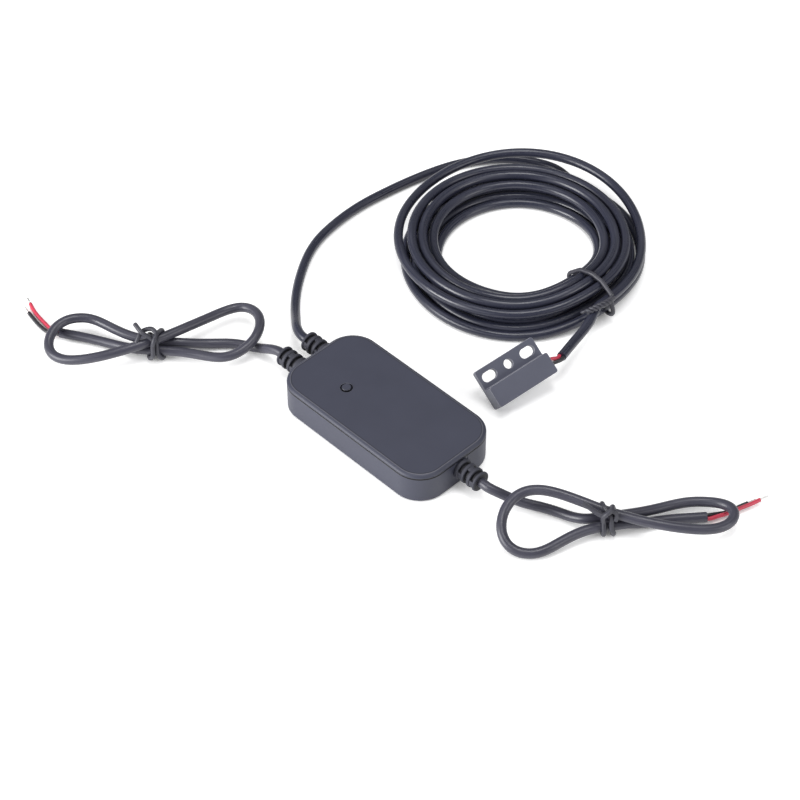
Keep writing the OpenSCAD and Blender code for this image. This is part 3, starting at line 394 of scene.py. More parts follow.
def ring_piece(name, tubes, finish, looped=False):
    """Mesh of one or more tubes, each a grid of rings in mm, with flat ends or looped.

    The UV map runs once round each ring, and along the tube in metres.
    """
    points, faces, uvs, start = [], [], [], 0
    for grid in tubes:
        rows, cols = grid.shape[:2]
        i, j = np.meshgrid(np.arange(rows if looped else rows - 1), np.arange(cols), indexing="ij")
        after, beside = (i + 1) % rows, (j + 1) % cols
        corners = [i * cols + j, i * cols + beside, after * cols + beside, after * cols + j]
        quads = np.stack(corners, axis=-1)
        faces += (quads.reshape(-1, 4) + start).tolist()
        middle = grid.mean(axis=1) * MM
        run = np.r_[0, np.cumsum(np.linalg.norm(np.diff(middle, axis=0), axis=1))]
        around = np.stack([j, j + 1, j + 1, j], axis=-1) / cols
        along = np.stack([run[i], run[i], run[after], run[after]], axis=-1)
        uvs.append(np.stack([around, along], axis=-1).reshape(-1, 2))
        if not looped:
            last = start + (rows - 1) * cols
            faces += [list(range(start, start + cols))[::-1], list(range(last, last + cols))]
            uvs.append(np.zeros((2 * cols, 2)))
        points.append(grid.reshape(-1, 3) * MM)
        start += rows * cols
    mesh = bpy.data.meshes.new(name)
    mesh.from_pydata(np.concatenate(points).tolist(), [], faces)
    mesh.shade_smooth()
    mesh.set_sharp_from_angle(angle=math.radians(SHARP_ANGLE))
    mesh.uv_layers.new(name="run").data.foreach_set("uv", np.concatenate(uvs).ravel())
    mesh.materials.append(finish)
    piece = bpy.data.objects.new(name, mesh)
    bpy.context.scene.collection.objects.link(piece)
    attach(piece, "controller")
    return piece


def unit(v):
    """A vector of length one in the same direction."""
    return v / np.linalg.norm(v)


def ease(x):
    """A smooth step from 0 to 1: three squares less two cubes."""
    x = np.clip(x, 0, 1)
    return x * x * (3 - 2 * x)


def hump(x, mid, half):
    """One wave of a raised cosine: 1 at its middle, and 0 from half its width on."""
    return np.where(np.abs(x - mid) >= half, 0, (1 + np.cos(np.pi * (x - mid) / half)) / 2)


def through_boot(side, y):
    """The straight stretch of a cable from inside the wall to just past its strain relief."""
    return np.array([[side * x, y, PORT_Z] for x in (JACKET_CUT, CASE_END, BOOT_END, STRAIGHT_END)])


def streak_group():
    """Faint lengthwise streaks of drawn PVC: noise on the surface of a cylinder, drawn out along it.

    The noise is read at the cosine and sine of the turn round the cable, times the count, and at the
    run along it, times the pace.
    """
    group = bpy.data.node_groups.new("drawn_streaks", "ShaderNodeTree")
    for name, value in (("Count", 2.2), ("Pace", 55.0)):
        socket = group.interface.new_socket(name, in_out="INPUT", socket_type="NodeSocketFloat")
        socket.default_value = value
    group.interface.new_socket("Streak", in_out="OUTPUT", socket_type="NodeSocketFloat")
    given = group.nodes.new("NodeGroupInput")
    result = group.nodes.new("NodeGroupOutput")
    run_map = group.nodes.new("ShaderNodeUVMap")
    run_map.uv_map = "run"
    axes = group.nodes.new("ShaderNodeSeparateXYZ")
    group.links.new(run_map.outputs["UV"], axes.inputs["Vector"])
    turn = maths(group, "MULTIPLY", axes.outputs["X"], 2 * math.pi)
    place = group.nodes.new("ShaderNodeCombineXYZ")
    noise = group.nodes.new("ShaderNodeTexNoise")
    noise.inputs["Scale"].default_value = 1.0
    noise.inputs["Detail"].default_value = 4.0
    count = given.outputs["Count"]
    wire_up(group, [
        (maths(group, "MULTIPLY", maths(group, "COSINE", turn), count), place.inputs["X"]),
        (maths(group, "MULTIPLY", maths(group, "SINE", turn), count), place.inputs["Y"]),
        (maths(group, "MULTIPLY", axes.outputs["Y"], given.outputs["Pace"]), place.inputs["Z"]),
        (place.outputs["Vector"], noise.inputs["Vector"]),
        (noise.outputs["Fac"], result.inputs["Streak"]),
    ])
    return group


DRAWN_STREAKS = streak_group()


def drawn_pvc(name, rgb, roughness, scuff_rgb):
    """Drawn PVC: the moulded skin, with streaks that are duller and go towards the scuffed colour."""
    material = moulded(name, rgb, roughness, grain=1200.0, mottle=0.3, depth=0.00003)
    tree = material.node_tree
    streaks = tree.nodes.new("ShaderNodeGroup")
    streaks.node_tree = DRAWN_STREAKS
    tone(material, streaks.outputs["Streak"], STREAK_SPAN, scuff_rgb)
    gloss = tree.nodes["Principled BSDF"].inputs["Roughness"]
    before = gloss.links[0].from_socket
    swing = maths(tree, "SUBTRACT", streaks.outputs["Streak"], 0.5)
    tree.links.new(maths(tree, "MULTIPLY_ADD", swing, 0.5, before), gloss)
    return material


jacket_pvc = drawn_pvc("jacket_pvc", JACKET, 0.36, (0.10, 0.10, 0.128))
red_insulation = moulded("red_insulation", RED, 0.35, grain=1500.0, mottle=0.3)
black_insulation = moulded("black_insulation", BLACK, 0.35, grain=1500.0, mottle=0.3)
tie_pvc = drawn_pvc("tie_pvc", (0.042, 0.042, 0.056), 0.45, (0.08, 0.08, 0.10))
tinned_copper = metal("tinned_copper", (0.94, 0.935, 0.925), 0.5, 6000.0)


# Strain reliefs
# Soft dark PVC, moulded onto the cable with rounded rings that are joined by crossed bridges, so that
# it bends evenly. A neck holds it in the case's wall, between a collar and an inner flange.

BOOT_PVC, BOOT_SHADE_RGB = (0.037, 0.038, 0.054), (0.014, 0.014, 0.020)
BOOT_SHADE_SPAN = (0.0031, 0.0028)
BOOT_R, BOOT_CORE_R, BOOT_NECK_R, BOOT_BORE_R = 3.4, 2.2, 2.5, 1.65
BOOT_IN, BOOT_FLANGE, BOOT_GAP = -2.95, -1.75, 0.15
BOOT_SLOTS, BOOT_SLOT, BOOT_PITCH, BOOT_LAST = 3, 1.25, 2.45, 0.9
BOOT_ROUND, BOOT_DRAFT = 0.32, 0.06
BOOT_SIDES, BOOT_BEND = 96, np.radians(np.linspace(0, 90, 5))
BRIDGE_R, BRIDGE_HALF, BRIDGE_SIDE = 3.1, 24, 4
NO_SLOT = -1


def rounded_edge(edge, way, slot):
    """Outline points of a quarter round at an edge: up to the outside for way 1, down for way -1."""
    steps = BOOT_BEND[::way]
    along = edge + way * BOOT_ROUND * (1 - np.cos(steps))
    radius = BOOT_R - BOOT_ROUND * (1 - np.sin(steps))
    return np.stack([along, radius, np.full(len(steps), slot)], axis=1)


def boot_outline(first):
    """Half section of a strain relief, its first slot at a place: along it, radius, slot's number."""
    flange_r = BOOT_R - BOOT_GAP
    inner = [(BOOT_IN, BOOT_BORE_R), (BOOT_IN, flange_r), (BOOT_FLANGE, flange_r),
             (BOOT_FLANGE, BOOT_NECK_R), (BOOT_GAP, BOOT_NECK_R)]
    parts = [[(*point, NO_SLOT) for point in inner], rounded_edge(BOOT_GAP, 1, NO_SLOT)]
    for slot in range(BOOT_SLOTS):
        near = first + slot * BOOT_PITCH
        far = near + BOOT_SLOT
        floor = [(near + BOOT_DRAFT, BOOT_CORE_R, slot), (far - BOOT_DRAFT, BOOT_CORE_R, slot)]
        parts += [rounded_edge(near, -1, slot), floor, rounded_edge(far, 1, slot)]
    end = far + BOOT_LAST
    parts += [rounded_edge(end, -1, NO_SLOT), [(end, BOOT_BORE_R, NO_SLOT)]]
    return np.concatenate(parts).T


def boot_rings(side, y, first, turn):
    """Rings of a strain relief, out along its outside and back through its bore.

    The half section goes round the axis. On a bridge of a point's slot the radius is at least the
    bridge's. The middle slot has its bridges at top and bottom, the others at the sides, all turned by
    the same angle.
    """
    place, radius, slot = boot_outline(first)
    angles = np.linspace(0, 360, BOOT_SIDES, endpoint=False)
    bridge_at = turn + np.where(slot == 1, 90, 0)[:, None]
    from_bridge = np.abs((angles - bridge_at + 90) % 180 - 90)
    bridge = np.clip((BRIDGE_HALF - from_bridge) / BRIDGE_SIDE + 0.5, 0, 1) * (slot != NO_SLOT)[:, None]
    reach = radius[:, None] + (np.maximum(BRIDGE_R, radius) - radius)[:, None] * bridge
    out = np.broadcast_to(side * (CASE_END + place)[:, None], reach.shape)
    a = np.radians(angles)
    return np.stack([out, y + side * reach * np.cos(a), PORT_Z + reach * np.sin(a)], axis=-1)


def boot_finish(name, y):
    """Soft PVC, painted near black as shade in the slots: the closer to the cable's axis, the darker.
    """
    material = moulded(name, BOOT_PVC, 0.66, grain=1500.0)
    tree = material.node_tree
    place = tree.nodes.new("ShaderNodeTexCoord")
    axes = tree.nodes.new("ShaderNodeSeparateXYZ")
    tree.links.new(place.outputs["Object"], axes.inputs["Vector"])
    across = maths(tree, "SUBTRACT", axes.outputs["Y"], y * MM)
    up = maths(tree, "SUBTRACT", axes.outputs["Z"], PORT_Z * MM)
    square = maths(tree, "MULTIPLY_ADD", across, across, maths(tree, "MULTIPLY", up, up))
    # Painted shade: darker in the slots, the closer to the cable's axis.
    tone(material, maths(tree, "SQRT", square), BOOT_SHADE_SPAN, BOOT_SHADE_RGB)
    return material


for key, side, y, first, turn in (
    ("gnd", -1, GND_Y, 2.3, 0),
    ("sensor", -1, SENSOR_Y, 1.75, 14),
    ("dc", 1, DC_Y, 1.45, 0),
):
    rings = boot_rings(side, y, first, turn)
    boot = ring_piece(key + "_boot", [rings], boot_finish(key + "_boot_pvc", y), looped=True)
    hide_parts(key + "_strain_relief")


# Hanks
# The push button cable and the supply cable are each folded in one figure of eight and tied round the
# waist. The cut end shows a red and a black wire with tinned tips.

WAIST_Z = 3.45
CROSS_RISE = 3.7
WAIST_W = 3.8
WAIST_SLOPE = 2.0
WAIST_EASE, CROSS_EASE = 45, 90
TIE_HUMP, CROSS_HUMP, LIFT_HUMP = 60, 85, 75
BOW_STEP, JOIN_L = 7.5, 2.0
WIRE_OUT = WIRE_R + 0.075
STRANDS, STRAND_R, STRAND_SIDES, STRAND_POINTS = 7, 0.13, 6, 14
STRAND_RING, STRAND_TWIST = 0.27, 1.1
TIP_IN, TIP_OUT = 0.6, 3.0


def on_hank(hank, places):
    """Places given along a hank, across it and up, in the object's own axes."""
    places = np.atleast_2d(np.asarray(places, float))
    turn, side = math.radians(hank["turn"]), hank["side"]
    c, s = math.cos(turn), math.sin(turn)
    x, y, z = places.T
    x0, y0 = hank["waist"]
    return np.stack([x0 + x * c - side * y * s, y0 + x * s + side * y * c, z], axis=1)


def bow(hank, t):
    """The figure of eight from turn 180 to 540 degrees: the far lobe, the crossing, the near lobe.

    Along it runs minus length times sine, across it width times the double sine, with a bend and a lean
    that grow with the squared sine. It rises in humps over the tie, over itself, over the cut end and
    over the lead.
    """
    t = np.atleast_1d(np.asarray(t, float))
    far_l, far_w, far_bend, far_lean = hank["far"]
    near_l, near_w, near_bend, near_lean = hank["near"]
    (t_a, lift_a), (t_b, lift_b) = hank["lifts"]
    far = t < 360
    one, two = np.sin(np.radians(t)), np.sin(np.radians(2 * t))
    width = WAIST_SLOPE + (far_w - WAIST_SLOPE) * ease((t - 180) / WAIST_EASE)
    width += (near_w - far_w) * ease((t - 360 + CROSS_EASE / 2) / CROSS_EASE)
    width += (WAIST_SLOPE - near_w) * ease((t - 540 + WAIST_EASE) / WAIST_EASE)
    s = np.where(far, far_lean, near_lean) * two * one ** 2 - np.where(far, far_l, near_l) * one
    v = width * two + WAIST_W / 2 * (360 - t) / 180 + np.where(far, far_bend, near_bend) * one ** 2
    z = CORD_R + (WAIST_Z - CORD_R) * (hump(t, 180, TIE_HUMP) + hump(t, 540, TIE_HUMP))
    z += (WAIST_Z + CROSS_RISE - CORD_R) * hump(t, 360, CROSS_HUMP)
    z += lift_a * hump(t, t_a, LIFT_HUMP) + lift_b * hump(t, t_b, LIFT_HUMP)
    return np.stack([s, v, z], axis=1)


def bow_run(hank, t):
    """Level direction of the bow at a turn."""
    ahead = np.diff(bow(hank, [t - 0.5, t + 0.5]), axis=0)[0]
    return unit(ahead * (1, 1, 0))


def hank_route(hank):
    """The whole cable: strain relief, lead, bow and cut end."""
    first, last = bow_run(hank, 180), bow_run(hank, 540)
    start = bow(hank, 180)[0] - 2 * CORD_R * first
    end = bow(hank, 540)[0] + 2 * CORD_R * last
    return np.concatenate([
        through_boot(hank["side_x"], hank["port_y"]),
        hank["lead"],
        on_hank(hank, [start - JOIN_L * first, start]),
        on_hank(hank, bow(hank, np.arange(180, 540.1, BOW_STEP))),
        on_hank(hank, [end, end + JOIN_L * last]),
        on_hank(hank, hank["tail"]),
    ])


def wire_route(hank, places, side):
    """A wire from its own side of the jacket's end, square to it, through its places."""
    run = unit((np.array(hank["tail"][-1]) - hank["tail"][-2]) * (1, 1, 0))
    start = np.array(hank["tail"][-1]) + side * WIRE_OUT * np.array([-run[1], run[0], 0])
    return on_hank(hank, np.concatenate([[start, start + WIRE_R * run], places]))


def strands(route):
    """A bare tip: strands laid round one in the middle, in a slow twist, from the end of a wire."""
    ahead = unit(route[-1] - route[-2])
    across = unit(np.cross(ahead, (0, 0, 1)))
    over = np.cross(ahead, across)
    s = np.linspace(-TIP_IN, TIP_OUT, STRAND_POINTS)
    axis = route[-1] + s[:, None] * ahead
    tubes = [tube_rings(axis, STRAND_R, STRAND_SIDES)]
    for n in range(STRANDS - 1):
        turn = 2 * math.pi * n / (STRANDS - 1) + s * STRAND_TWIST
        ring = STRAND_RING * (np.cos(turn)[:, None] * across + np.sin(turn)[:, None] * over)
        tubes.append(tube_rings(axis + ring, STRAND_R, STRAND_SIDES))
    return tubes


gnd = {
    "side_x": -1, "port_y": GND_Y, "waist": (-75, -28.7), "turn": 227, "side": -1,
    "far": (36, 8.4, 3.2, -2.5), "near": (31.6, 9.6, 11, 3.2), "lifts": ((242, 4.5), (458, 5.4)),
    "lead": [(-47.3, -5.1, 5.3), (-51, -5.4, 3.3), (-54.8, -6.3, 1.9),
             (-60, -9, 1.6), (-64.6, -13.4, 1.7), (-68.3, -18.4, 2.5)],
    "tail": [(12, 1.4, 2.2), (18, 4.2, 1.6), (24, 6.4, 1.6), (29.5, 8.1, 1.6), (33.4, 9.2, 1.6)],
    "red": [(35.4, 10.6, 1.3), (37.9, 13.3, 0.8), (40.8, 17.3, 0.7),
            (43.2, 21.2, 0.7), (44.6, 24.4, 0.7)],
    "black": [(36.2, 9.4, 1.3), (39.2, 12, 0.8), (42.2, 16, 0.7), (44.7, 20, 0.7)],
    "red_side": 1,
}
dc = {
    "side_x": 1, "port_y": DC_Y, "waist": (77, 18), "turn": 49.5, "side": 1,
    "far": (38.3, 6.2, -2, 1.2), "near": (32, 8.6, 0.5, 1.4), "lifts": ((272, 3.2), (418, 6.2)),
    "lead": [(47.2, 2, 5.2), (50.3, 4.2, 3.5), (54, 6.9, 2),
             (58.5, 9.6, 1.6), (63.5, 11.7, 1.6), (68, 12.9, 2.2)],
    "tail": [(12, -0.2, 2.2), (18, 0.9, 1.6), (24.5, 1.2, 1.6), (30.6, 1.3, 1.6)],
    "red": [(33.4, 1.15, 1.6), (37, 2.3, 1.6), (41, 4, 1.6), (45, 5.75, 1.5), (48, 7.35, 1.4)],
    "black": [(33.2, 2.5, 1.3), (36.5, 3.45, 0.75), (40.5, 5.15, 0.7), (44.2, 6.85, 0.7)],
    "red_side": -1,
}


# Hank ties
# A soft PVC tie cord goes twice round each hank's waist. On one hank the turns cross in front, on the
# other they lie side by side. Its ends are knotted in front, and the cut tails stick out.

FRONT = 135
TOP_LEAN = -0.5
TIE_GAP = 0.1
TURN_POINTS, TIE_POINTS = 241, 260
CROSS_HALF, STEP_WIDTH = 0.6, 1.2
KNOT_ACROSS, KNOT_UP = -1.73, 8.88
END_UP = (0, 0, 0.3)


def drawn_round(centres, reach, angles):
    """A cord drawn tight round discs: for each angle, the disc farthest that way, plus the reach."""
    away = np.stack([np.cos(angles), np.sin(angles)], axis=1)
    far = (centres * away[:, None]).sum(axis=2).argmax(axis=1)
    return centres[np.arange(len(angles)), far] + reach[:, None] * away


def evenly(line, count):
    """The same line with even points."""
    run = np.r_[0, np.cumsum(np.linalg.norm(np.diff(line, axis=0), axis=1))]
    return np.stack([np.interp(np.linspace(0, run[-1], count), run, axis) for axis in line.T], axis=1)


def tie_turns(tie):
    """Two tight turns round the waist's three runs, as places along it, across it and up.

    Crossed turns sway with the sine of half the angle, so that they meet in front, where one goes over
    the other. Plain turns lie apart and step over in front. The run on top leans across the others.
    """
    a = np.radians(np.linspace(0, 720, TURN_POINTS) + FRONT)
    half = np.linspace(0, 2 * math.pi, TURN_POINTS)
    if tie["crossed"]:
        along = tie["shift"] + tie["spread"] * np.sin(half)
        over = 2 * TIE_R * (hump(half, 0, CROSS_HALF) + hump(half, 2 * math.pi, CROSS_HALF))
    else:
        along = tie["shift"] + tie["spread"] * (2 * ease((half - math.pi) / STEP_WIDTH + 0.5) - 1)
        over = 0 * half
    low, high = np.full(TURN_POINTS, WAIST_Z), np.full(TURN_POINTS, WAIST_Z + CROSS_RISE)
    side = np.full(TURN_POINTS, WAIST_W / 2)
    centres = np.stack([np.c_[-side, low], np.c_[side, low], np.c_[TOP_LEAN * along, high]], axis=1)
    turns = drawn_round(centres, CORD_R + TIE_R + TIE_GAP + over, a)
    return evenly(np.c_[along, turns], TIE_POINTS)


def in_front(tie, places):
    """Places to the right, up and out from the knot in front of a tie, as along, across and up."""
    right, up, out = np.asarray(places, float).T
    slant = math.sqrt(0.5)
    along = tie["shift"] + tie["right"] * right
    return np.stack([along, KNOT_ACROSS + slant * (up - out), KNOT_UP + slant * (up + out)], axis=1)


def tie_tubes(hank):
    """Turns of a hank's tie, and the ends that are knotted in front of them, as rings."""
    tie = hank["tie"]
    along = on_hank(hank, [(1, 0, 0)])[0] - on_hank(hank, [(0, 0, 0)])[0]
    tubes = [tube_rings(on_hank(hank, tie_turns(tie)), TIE_R, TIE_SIDES, along)]
    for end in tie["ends"]:
        line = smooth_route(on_hank(hank, in_front(tie, end)), step=0.3)
        tubes.append(tube_rings(line, TIE_R, TIE_SIDES, along + END_UP))
    return tubes


gnd["tie"] = {
    "crossed": True, "shift": 1.4, "spread": 2.6, "right": -1,
    "ends": [
        [(-6.0, -1.4, 0.2), (-5.2, 0.4, 0.6), (-4.2, 2.0, 0.5), (-2.4, 2.9, 0.6),
         (-0.6, 2.8, 1.0), (0.5, 1.4, 1.2)],
        [(-6.3, 4.6, 0.4), (-5.0, 2.9, 1.5), (-3.6, 1.4, 1.9), (-1.8, 0.4, 1.3), (-0.4, -0.8, 0.4)],
    ],
}
dc["tie"] = {
    "crossed": False, "shift": 0, "spread": 1.5, "right": 1,
    "ends": [
        [(1.8, -2.2, 0.1), (2.2, -0.5, 1.0), (1.4, 0.6, 1.5), (-0.3, 0.3, 1.5),
         (-2.0, -0.4, 1.4), (-3.6, 0.3, 1.0), (-5.6, 1.9, 0.5), (-7.6, 3.5, 0)],
        [(-1.8, -2.4, 0.1), (-1.9, -1.0, 1.7), (-0.9, 0, 2.7), (0.4, 0.9, 2.4), (1.2, 2.0, 0.6)],
    ],
}


def hank_pieces(key, hank):
    """Cable, tie and wires of one hank, made as pieces in place of the CAD nodes, which are hidden."""
    line = smooth_route(hank_route(hank), step=0.6)
    cable = ring_piece(key + "_cable", [tube_rings(line, CORD_R, CORD_SIDES)], jacket_pvc)
    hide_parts(key + "_cord_lead", key + "_cord_hank", key + "_cord_tail")
    tie = ring_piece(key + "_tie", tie_tubes(hank), tie_pvc)
    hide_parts(key + "_hank_tie")
    for shade, finish, turn in (("red", red_insulation, 1), ("black", black_insulation, -1)):
        route = smooth_route(wire_route(hank, hank[shade], turn * hank["red_side"]), step=0.4)
        wire = ring_piece(f"{key}_{shade}_lead", [tube_rings(route, WIRE_R, WIRE_SIDES)], finish)
        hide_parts(f"{key}_{shade}_wire")


hank_pieces("gnd", gnd)
hank_pieces("dc", dc)

bare_tips = ring_piece("bare_tips", [
    tube
    for hank in (gnd, dc)
    for shade, turn in (("red", 1), ("black", -1))
    for tube in strands(wire_route(hank, hank[shade], turn * hank["red_side"]))
], tinned_copper)
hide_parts("tinned_tips")


# Sensor cable
# The long lead to the reed sensor, wound in a coil of about eight turns: it spirals in on the table,
# climbs in half a turn and spirals out on top. Its PVC is glossier than the hanks' jackets, and painted
# darker as shade, for the shade the coil's turns cast on each other.

COIL_MID = np.array([-24.7, 88.4, 0])
COIL_SHIFT = np.array([-3.7, 0.7, 0])
COIL_R, COIL_STEP, COIL_START = 42.0, 3.65, 100
COIL_TURNS, UPPER_TURNS = 4, 3
LAYER_STEP, COIL_HEAP, SHIFT_PACE = 3.8, 2.4, 1.8
TIE_TURN, LIFT_HALF = 1, 50
COIL_LIFT = 2 * TIE_R + 0.7
DRAWN_IN, DRAWN_HALF = 3, 80
LAST_TURN, LAST_EASE = 0.8, 0.3
LAST_OUT, LAST_OFF, LAST_UP = 1.4, 3.6, 2
FAR_TURN, FAR_HALF = 115, 85
COIL_POINTS = 24
COIL_IN_R = COIL_R - COIL_TURNS * COIL_STEP
COIL_ALL = COIL_TURNS + 0.5 + UPPER_TURNS + (COIL_START + 180) / 360
COIL_OUT_R = COIL_IN_R + COIL_STEP * (COIL_ALL - COIL_TURNS - 0.5)


def coil(n):
    """The coil after n turns: a spiral in, half a turn of climb, and a spiral out on top.

    The upper layer is shifted and heaped in its middle, the last turn stands off on the far side, and
    all turns rise over the tie, which also draws the lower layer in.
    """
    n = np.atleast_1d(np.asarray(n, float))
    a = COIL_START - 360 * n
    climb = n - COIL_TURNS
    up = np.clip(2 * climb, 0, 1)
    r = np.where(climb < 0, COIL_R - COIL_STEP * n,
                 np.where(climb > 0.5, COIL_IN_R + COIL_STEP * (climb - 0.5),
                          COIL_IN_R - COIL_STEP * climb * (1 - 2 * climb)))
    share = np.clip((r - COIL_IN_R) / (COIL_OUT_R - COIL_IN_R), 0, 1)
    heap = np.where(climb > 0.5, np.sin(np.pi * share), 0)
    from_tie = (a - TIE_TURN + 180) % 360 - 180
    last = n - COIL_ALL + LAST_TURN
    off = np.where(last < 0, 0, hump(a % 360, FAR_TURN, FAR_HALF))
    far = r + LAST_OFF * off + LAST_OUT * ease(last / LAST_EASE)
    far -= np.where(climb < 0, DRAWN_IN * hump(from_tie, 0, DRAWN_HALF), 0)
    z = CORD_R + up * LAYER_STEP + COIL_HEAP * heap + LAST_UP * off
    z += COIL_LIFT * hump(from_tie, 0, LIFT_HALF)
    turn = np.radians(a)
    round_mid = np.stack([far * np.cos(turn), far * np.sin(turn), z], axis=1)
    return COIL_MID + ease(SHIFT_PACE * up)[:, None] * COIL_SHIFT + round_mid


def coil_run(n):
    """Level direction of the coil after n turns."""
    return unit(np.diff(coil([n - 0.001, n + 0.001]), axis=0)[0] * (1, 1, 0))


sensor_lead = [
    (-48, 6.8, 5.8), (-53, 10.6, 4), (-59.5, 16.2, 2.1), (-66, 23, 1.6), (-71.6, 30.4, 1.6),
    (-76, 37.5, 1.6), (-79.2, 45, 1.6), (-81, 53, 1.6), (-81.9, 61, 1.6), (-82, 69, 1.6),
    (-81.2, 78, 1.6), (-79.8, 87.5, 1.6), (-77.8, 97, 1.6), (-74.8, 106.5, 1.6), (-70, 115.5, 1.6),
    (-63.5, 123, 1.6), (-55.9, 128, 1.6), (-47.3, 130.7, 1.6),
]
sensor_tail = [
    (16.5, 77.2, 7.1), (18.4, 70.4, 6.7), (19.9, 64.2, 6.9), (21, 60.2, 7.2), (21.8, 57.4, 7.5),
]
coil_from = coil(0)[0] - 2 * CORD_R * coil_run(0)
coil_to = coil(COIL_ALL)[0] + 2 * CORD_R * coil_run(COIL_ALL)
sensor_line = smooth_route(np.concatenate([
    through_boot(-1, SENSOR_Y),
    sensor_lead,
    [coil_from],
    coil(np.linspace(0, COIL_ALL, math.ceil(COIL_POINTS * COIL_ALL) + 1)),
    [coil_to, coil_to + JOIN_L * coil_run(COIL_ALL)],
    sensor_tail,
]), step=0.9)
# The jacket's colour is darker than the hanks': painted shade of the coil's turns on each other.
shaded_sensor_jacket_pvc = drawn_pvc("shaded_sensor_jacket_pvc", (0.025, 0.027, 0.046), 0.30, (0.062, 0.064, 0.09))
sensor_rings = tube_rings(sensor_line, CORD_R, CORD_SIDES)
sensor_cable = ring_piece("sensor_cable", [sensor_rings], shaded_sensor_jacket_pvc)
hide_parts("sensor_cord_lead", "sensor_cord_coil", "sensor_cord_tail")


# Coil tie
# The same soft PVC tie cord, once round the coil's bundle and slack on its outer side. Its two ends are
# twisted together outside and end in a short hook.

SLACK_OUT, SLACK_UP = 0.9, 5.0
LOOP_START, LOOP_HALF, LOOP_POINTS = 62, 0.5, 44
ASIDE, ASIDE_FROM, ASIDE_OVER = 1.8, 37, 5
TWIST_R, TWIST_PITCH = 0.56, 2.9
TWIST_TIE_R, HOOK_TIE_R = 0.8 * TIE_R, 0.7 * TIE_R


def on_coil(places):
    """Places given out from the coil's middle at the tie, round it and up, in the object's own axes."""
    x, y, z = np.atleast_2d(np.asarray(places, float)).T
    c, s = math.cos(math.radians(TIE_TURN)), math.sin(math.radians(TIE_TURN))
    return COIL_MID + np.stack([x * c - y * s, x * s + y * c, z], axis=1)


def coil_tie_loop():
    """One turn, tight round all runs of the bundle at the tie, and slack in a ring on its outer side.

    Its ends lie a little apart, and the slack ring is moved aside.
    """
    runs = coil((COIL_START - TIE_TURN) / 360 + np.arange(math.ceil(COIL_ALL))) - COIL_MID
    centres = np.c_[np.hypot(runs[:, 0], runs[:, 1]), runs[:, 2]]
    centres = np.r_[centres, [(centres[:, 0].max() + SLACK_OUT, SLACK_UP)]]
    centres = np.broadcast_to(centres, (TURN_POINTS, *centres.shape))
    a = np.radians(np.linspace(LOOP_START, LOOP_START + 360, TURN_POINTS))
    out, up = drawn_round(centres, np.full(TURN_POINTS, CORD_R + TIE_R + TIE_GAP), a).T
    aside = np.linspace(LOOP_HALF, -LOOP_HALF, TURN_POINTS)
    aside -= ASIDE * ease((out - ASIDE_FROM) / ASIDE_OVER)
    line = np.c_[out, aside, np.maximum(up, TIE_R)]
    return smooth_route(on_coil(evenly(line, LOOP_POINTS)), step=0.4)


def twist(axis, radius, pitch, phase):
    """A strand that winds round an axis line, at a radius and with a pitch."""
    ahead = np.gradient(axis, axis=0)
    ahead /= np.linalg.norm(ahead, axis=1, keepdims=True)
    across = np.cross(ahead, (0, 0, 1))
    across /= np.linalg.norm(across, axis=1, keepdims=True)
    run = np.r_[0, np.cumsum(np.linalg.norm(np.diff(axis, axis=0), axis=1))]
    turn = (2 * math.pi * run / pitch + phase)[:, None]
    return axis + radius * (np.cos(turn) * across + np.sin(turn) * np.cross(ahead, across))


twist_axis = smooth_route(on_coil([
    (40.8, -1.2, 9.6), (41.4, -4, 10.1), (41.1, -6.8, 10.3), (40.1, -9.6, 9.9), (39.0, -11.6, 9.0),
]), step=0.25)
twist_hook = smooth_route(on_coil([
    (39.3, -11, 9.7), (38.4, -12.2, 9.2), (37.5, -12.5, 8.4), (37.2, -11.8, 8.0),
]), step=0.25)
coil_tie = ring_piece("bundle_tie", [
    tube_rings(coil_tie_loop(), TIE_R, TIE_SIDES, on_coil([(0, 1, 0)])[0] - COIL_MID),
    tube_rings(twist(twist_axis, TWIST_R, TWIST_PITCH, 0), TWIST_TIE_R, TIE_SIDES),
    tube_rings(twist(twist_axis, TWIST_R, TWIST_PITCH, math.pi), TWIST_TIE_R, TIE_SIDES),
    tube_rings(twist_hook, HOOK_TIE_R, TIE_SIDES),
], tie_pvc)
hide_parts("coil_tie")


# Reed sensor
# A moulded block with a flange that has a round hole between two slots. A reed switch is potted in it,
# and a red and a black wire go in at the end of the block.

SENSOR_ABS, SENSOR_EDGE_HIGHLIGHT = (0.089, 0.094, 0.130), (0.30, 0.30, 0.34)
SENSOR_L, SENSOR_W, SENSOR_T, EAR_W = 23.0, 13.8, 6.0, 6.6
SENSOR_AT = (15.1, 41.7)
ROLL, TIP, YAW = math.radians(38), math.radians(-8), math.radians(81)
SENSOR_Z = SENSOR_W / 2 * math.sin(ROLL) * math.cos(TIP) - SENSOR_L / 2 * math.sin(TIP)
WIRE_STRAIGHT, WIRE_BEFORE, WIRE_INSIDE = 1.2, 1.4, 2.0

# The housing's edges are painted lighter: a painted highlight.
dress(moulded("sensor_abs", SENSOR_ABS, 0.42, edge_r=0.0003, edge_paint_rgb=SENSOR_EDGE_HIGHLIGHT), "sensor_housing")
dress(moulded("potting_resin", (0.020, 0.020, 0.023), 0.25, grain=400.0), "sensor_potting")


def on_sensor(place):
    """A place in the sensor's own axes, turned about X, Y and Z and moved to where it lies."""
    turn = Euler((ROLL, TIP, YAW), "XYZ").to_matrix()
    return np.array([*SENSOR_AT, SENSOR_Z]) + np.array(turn @ Vector(place))


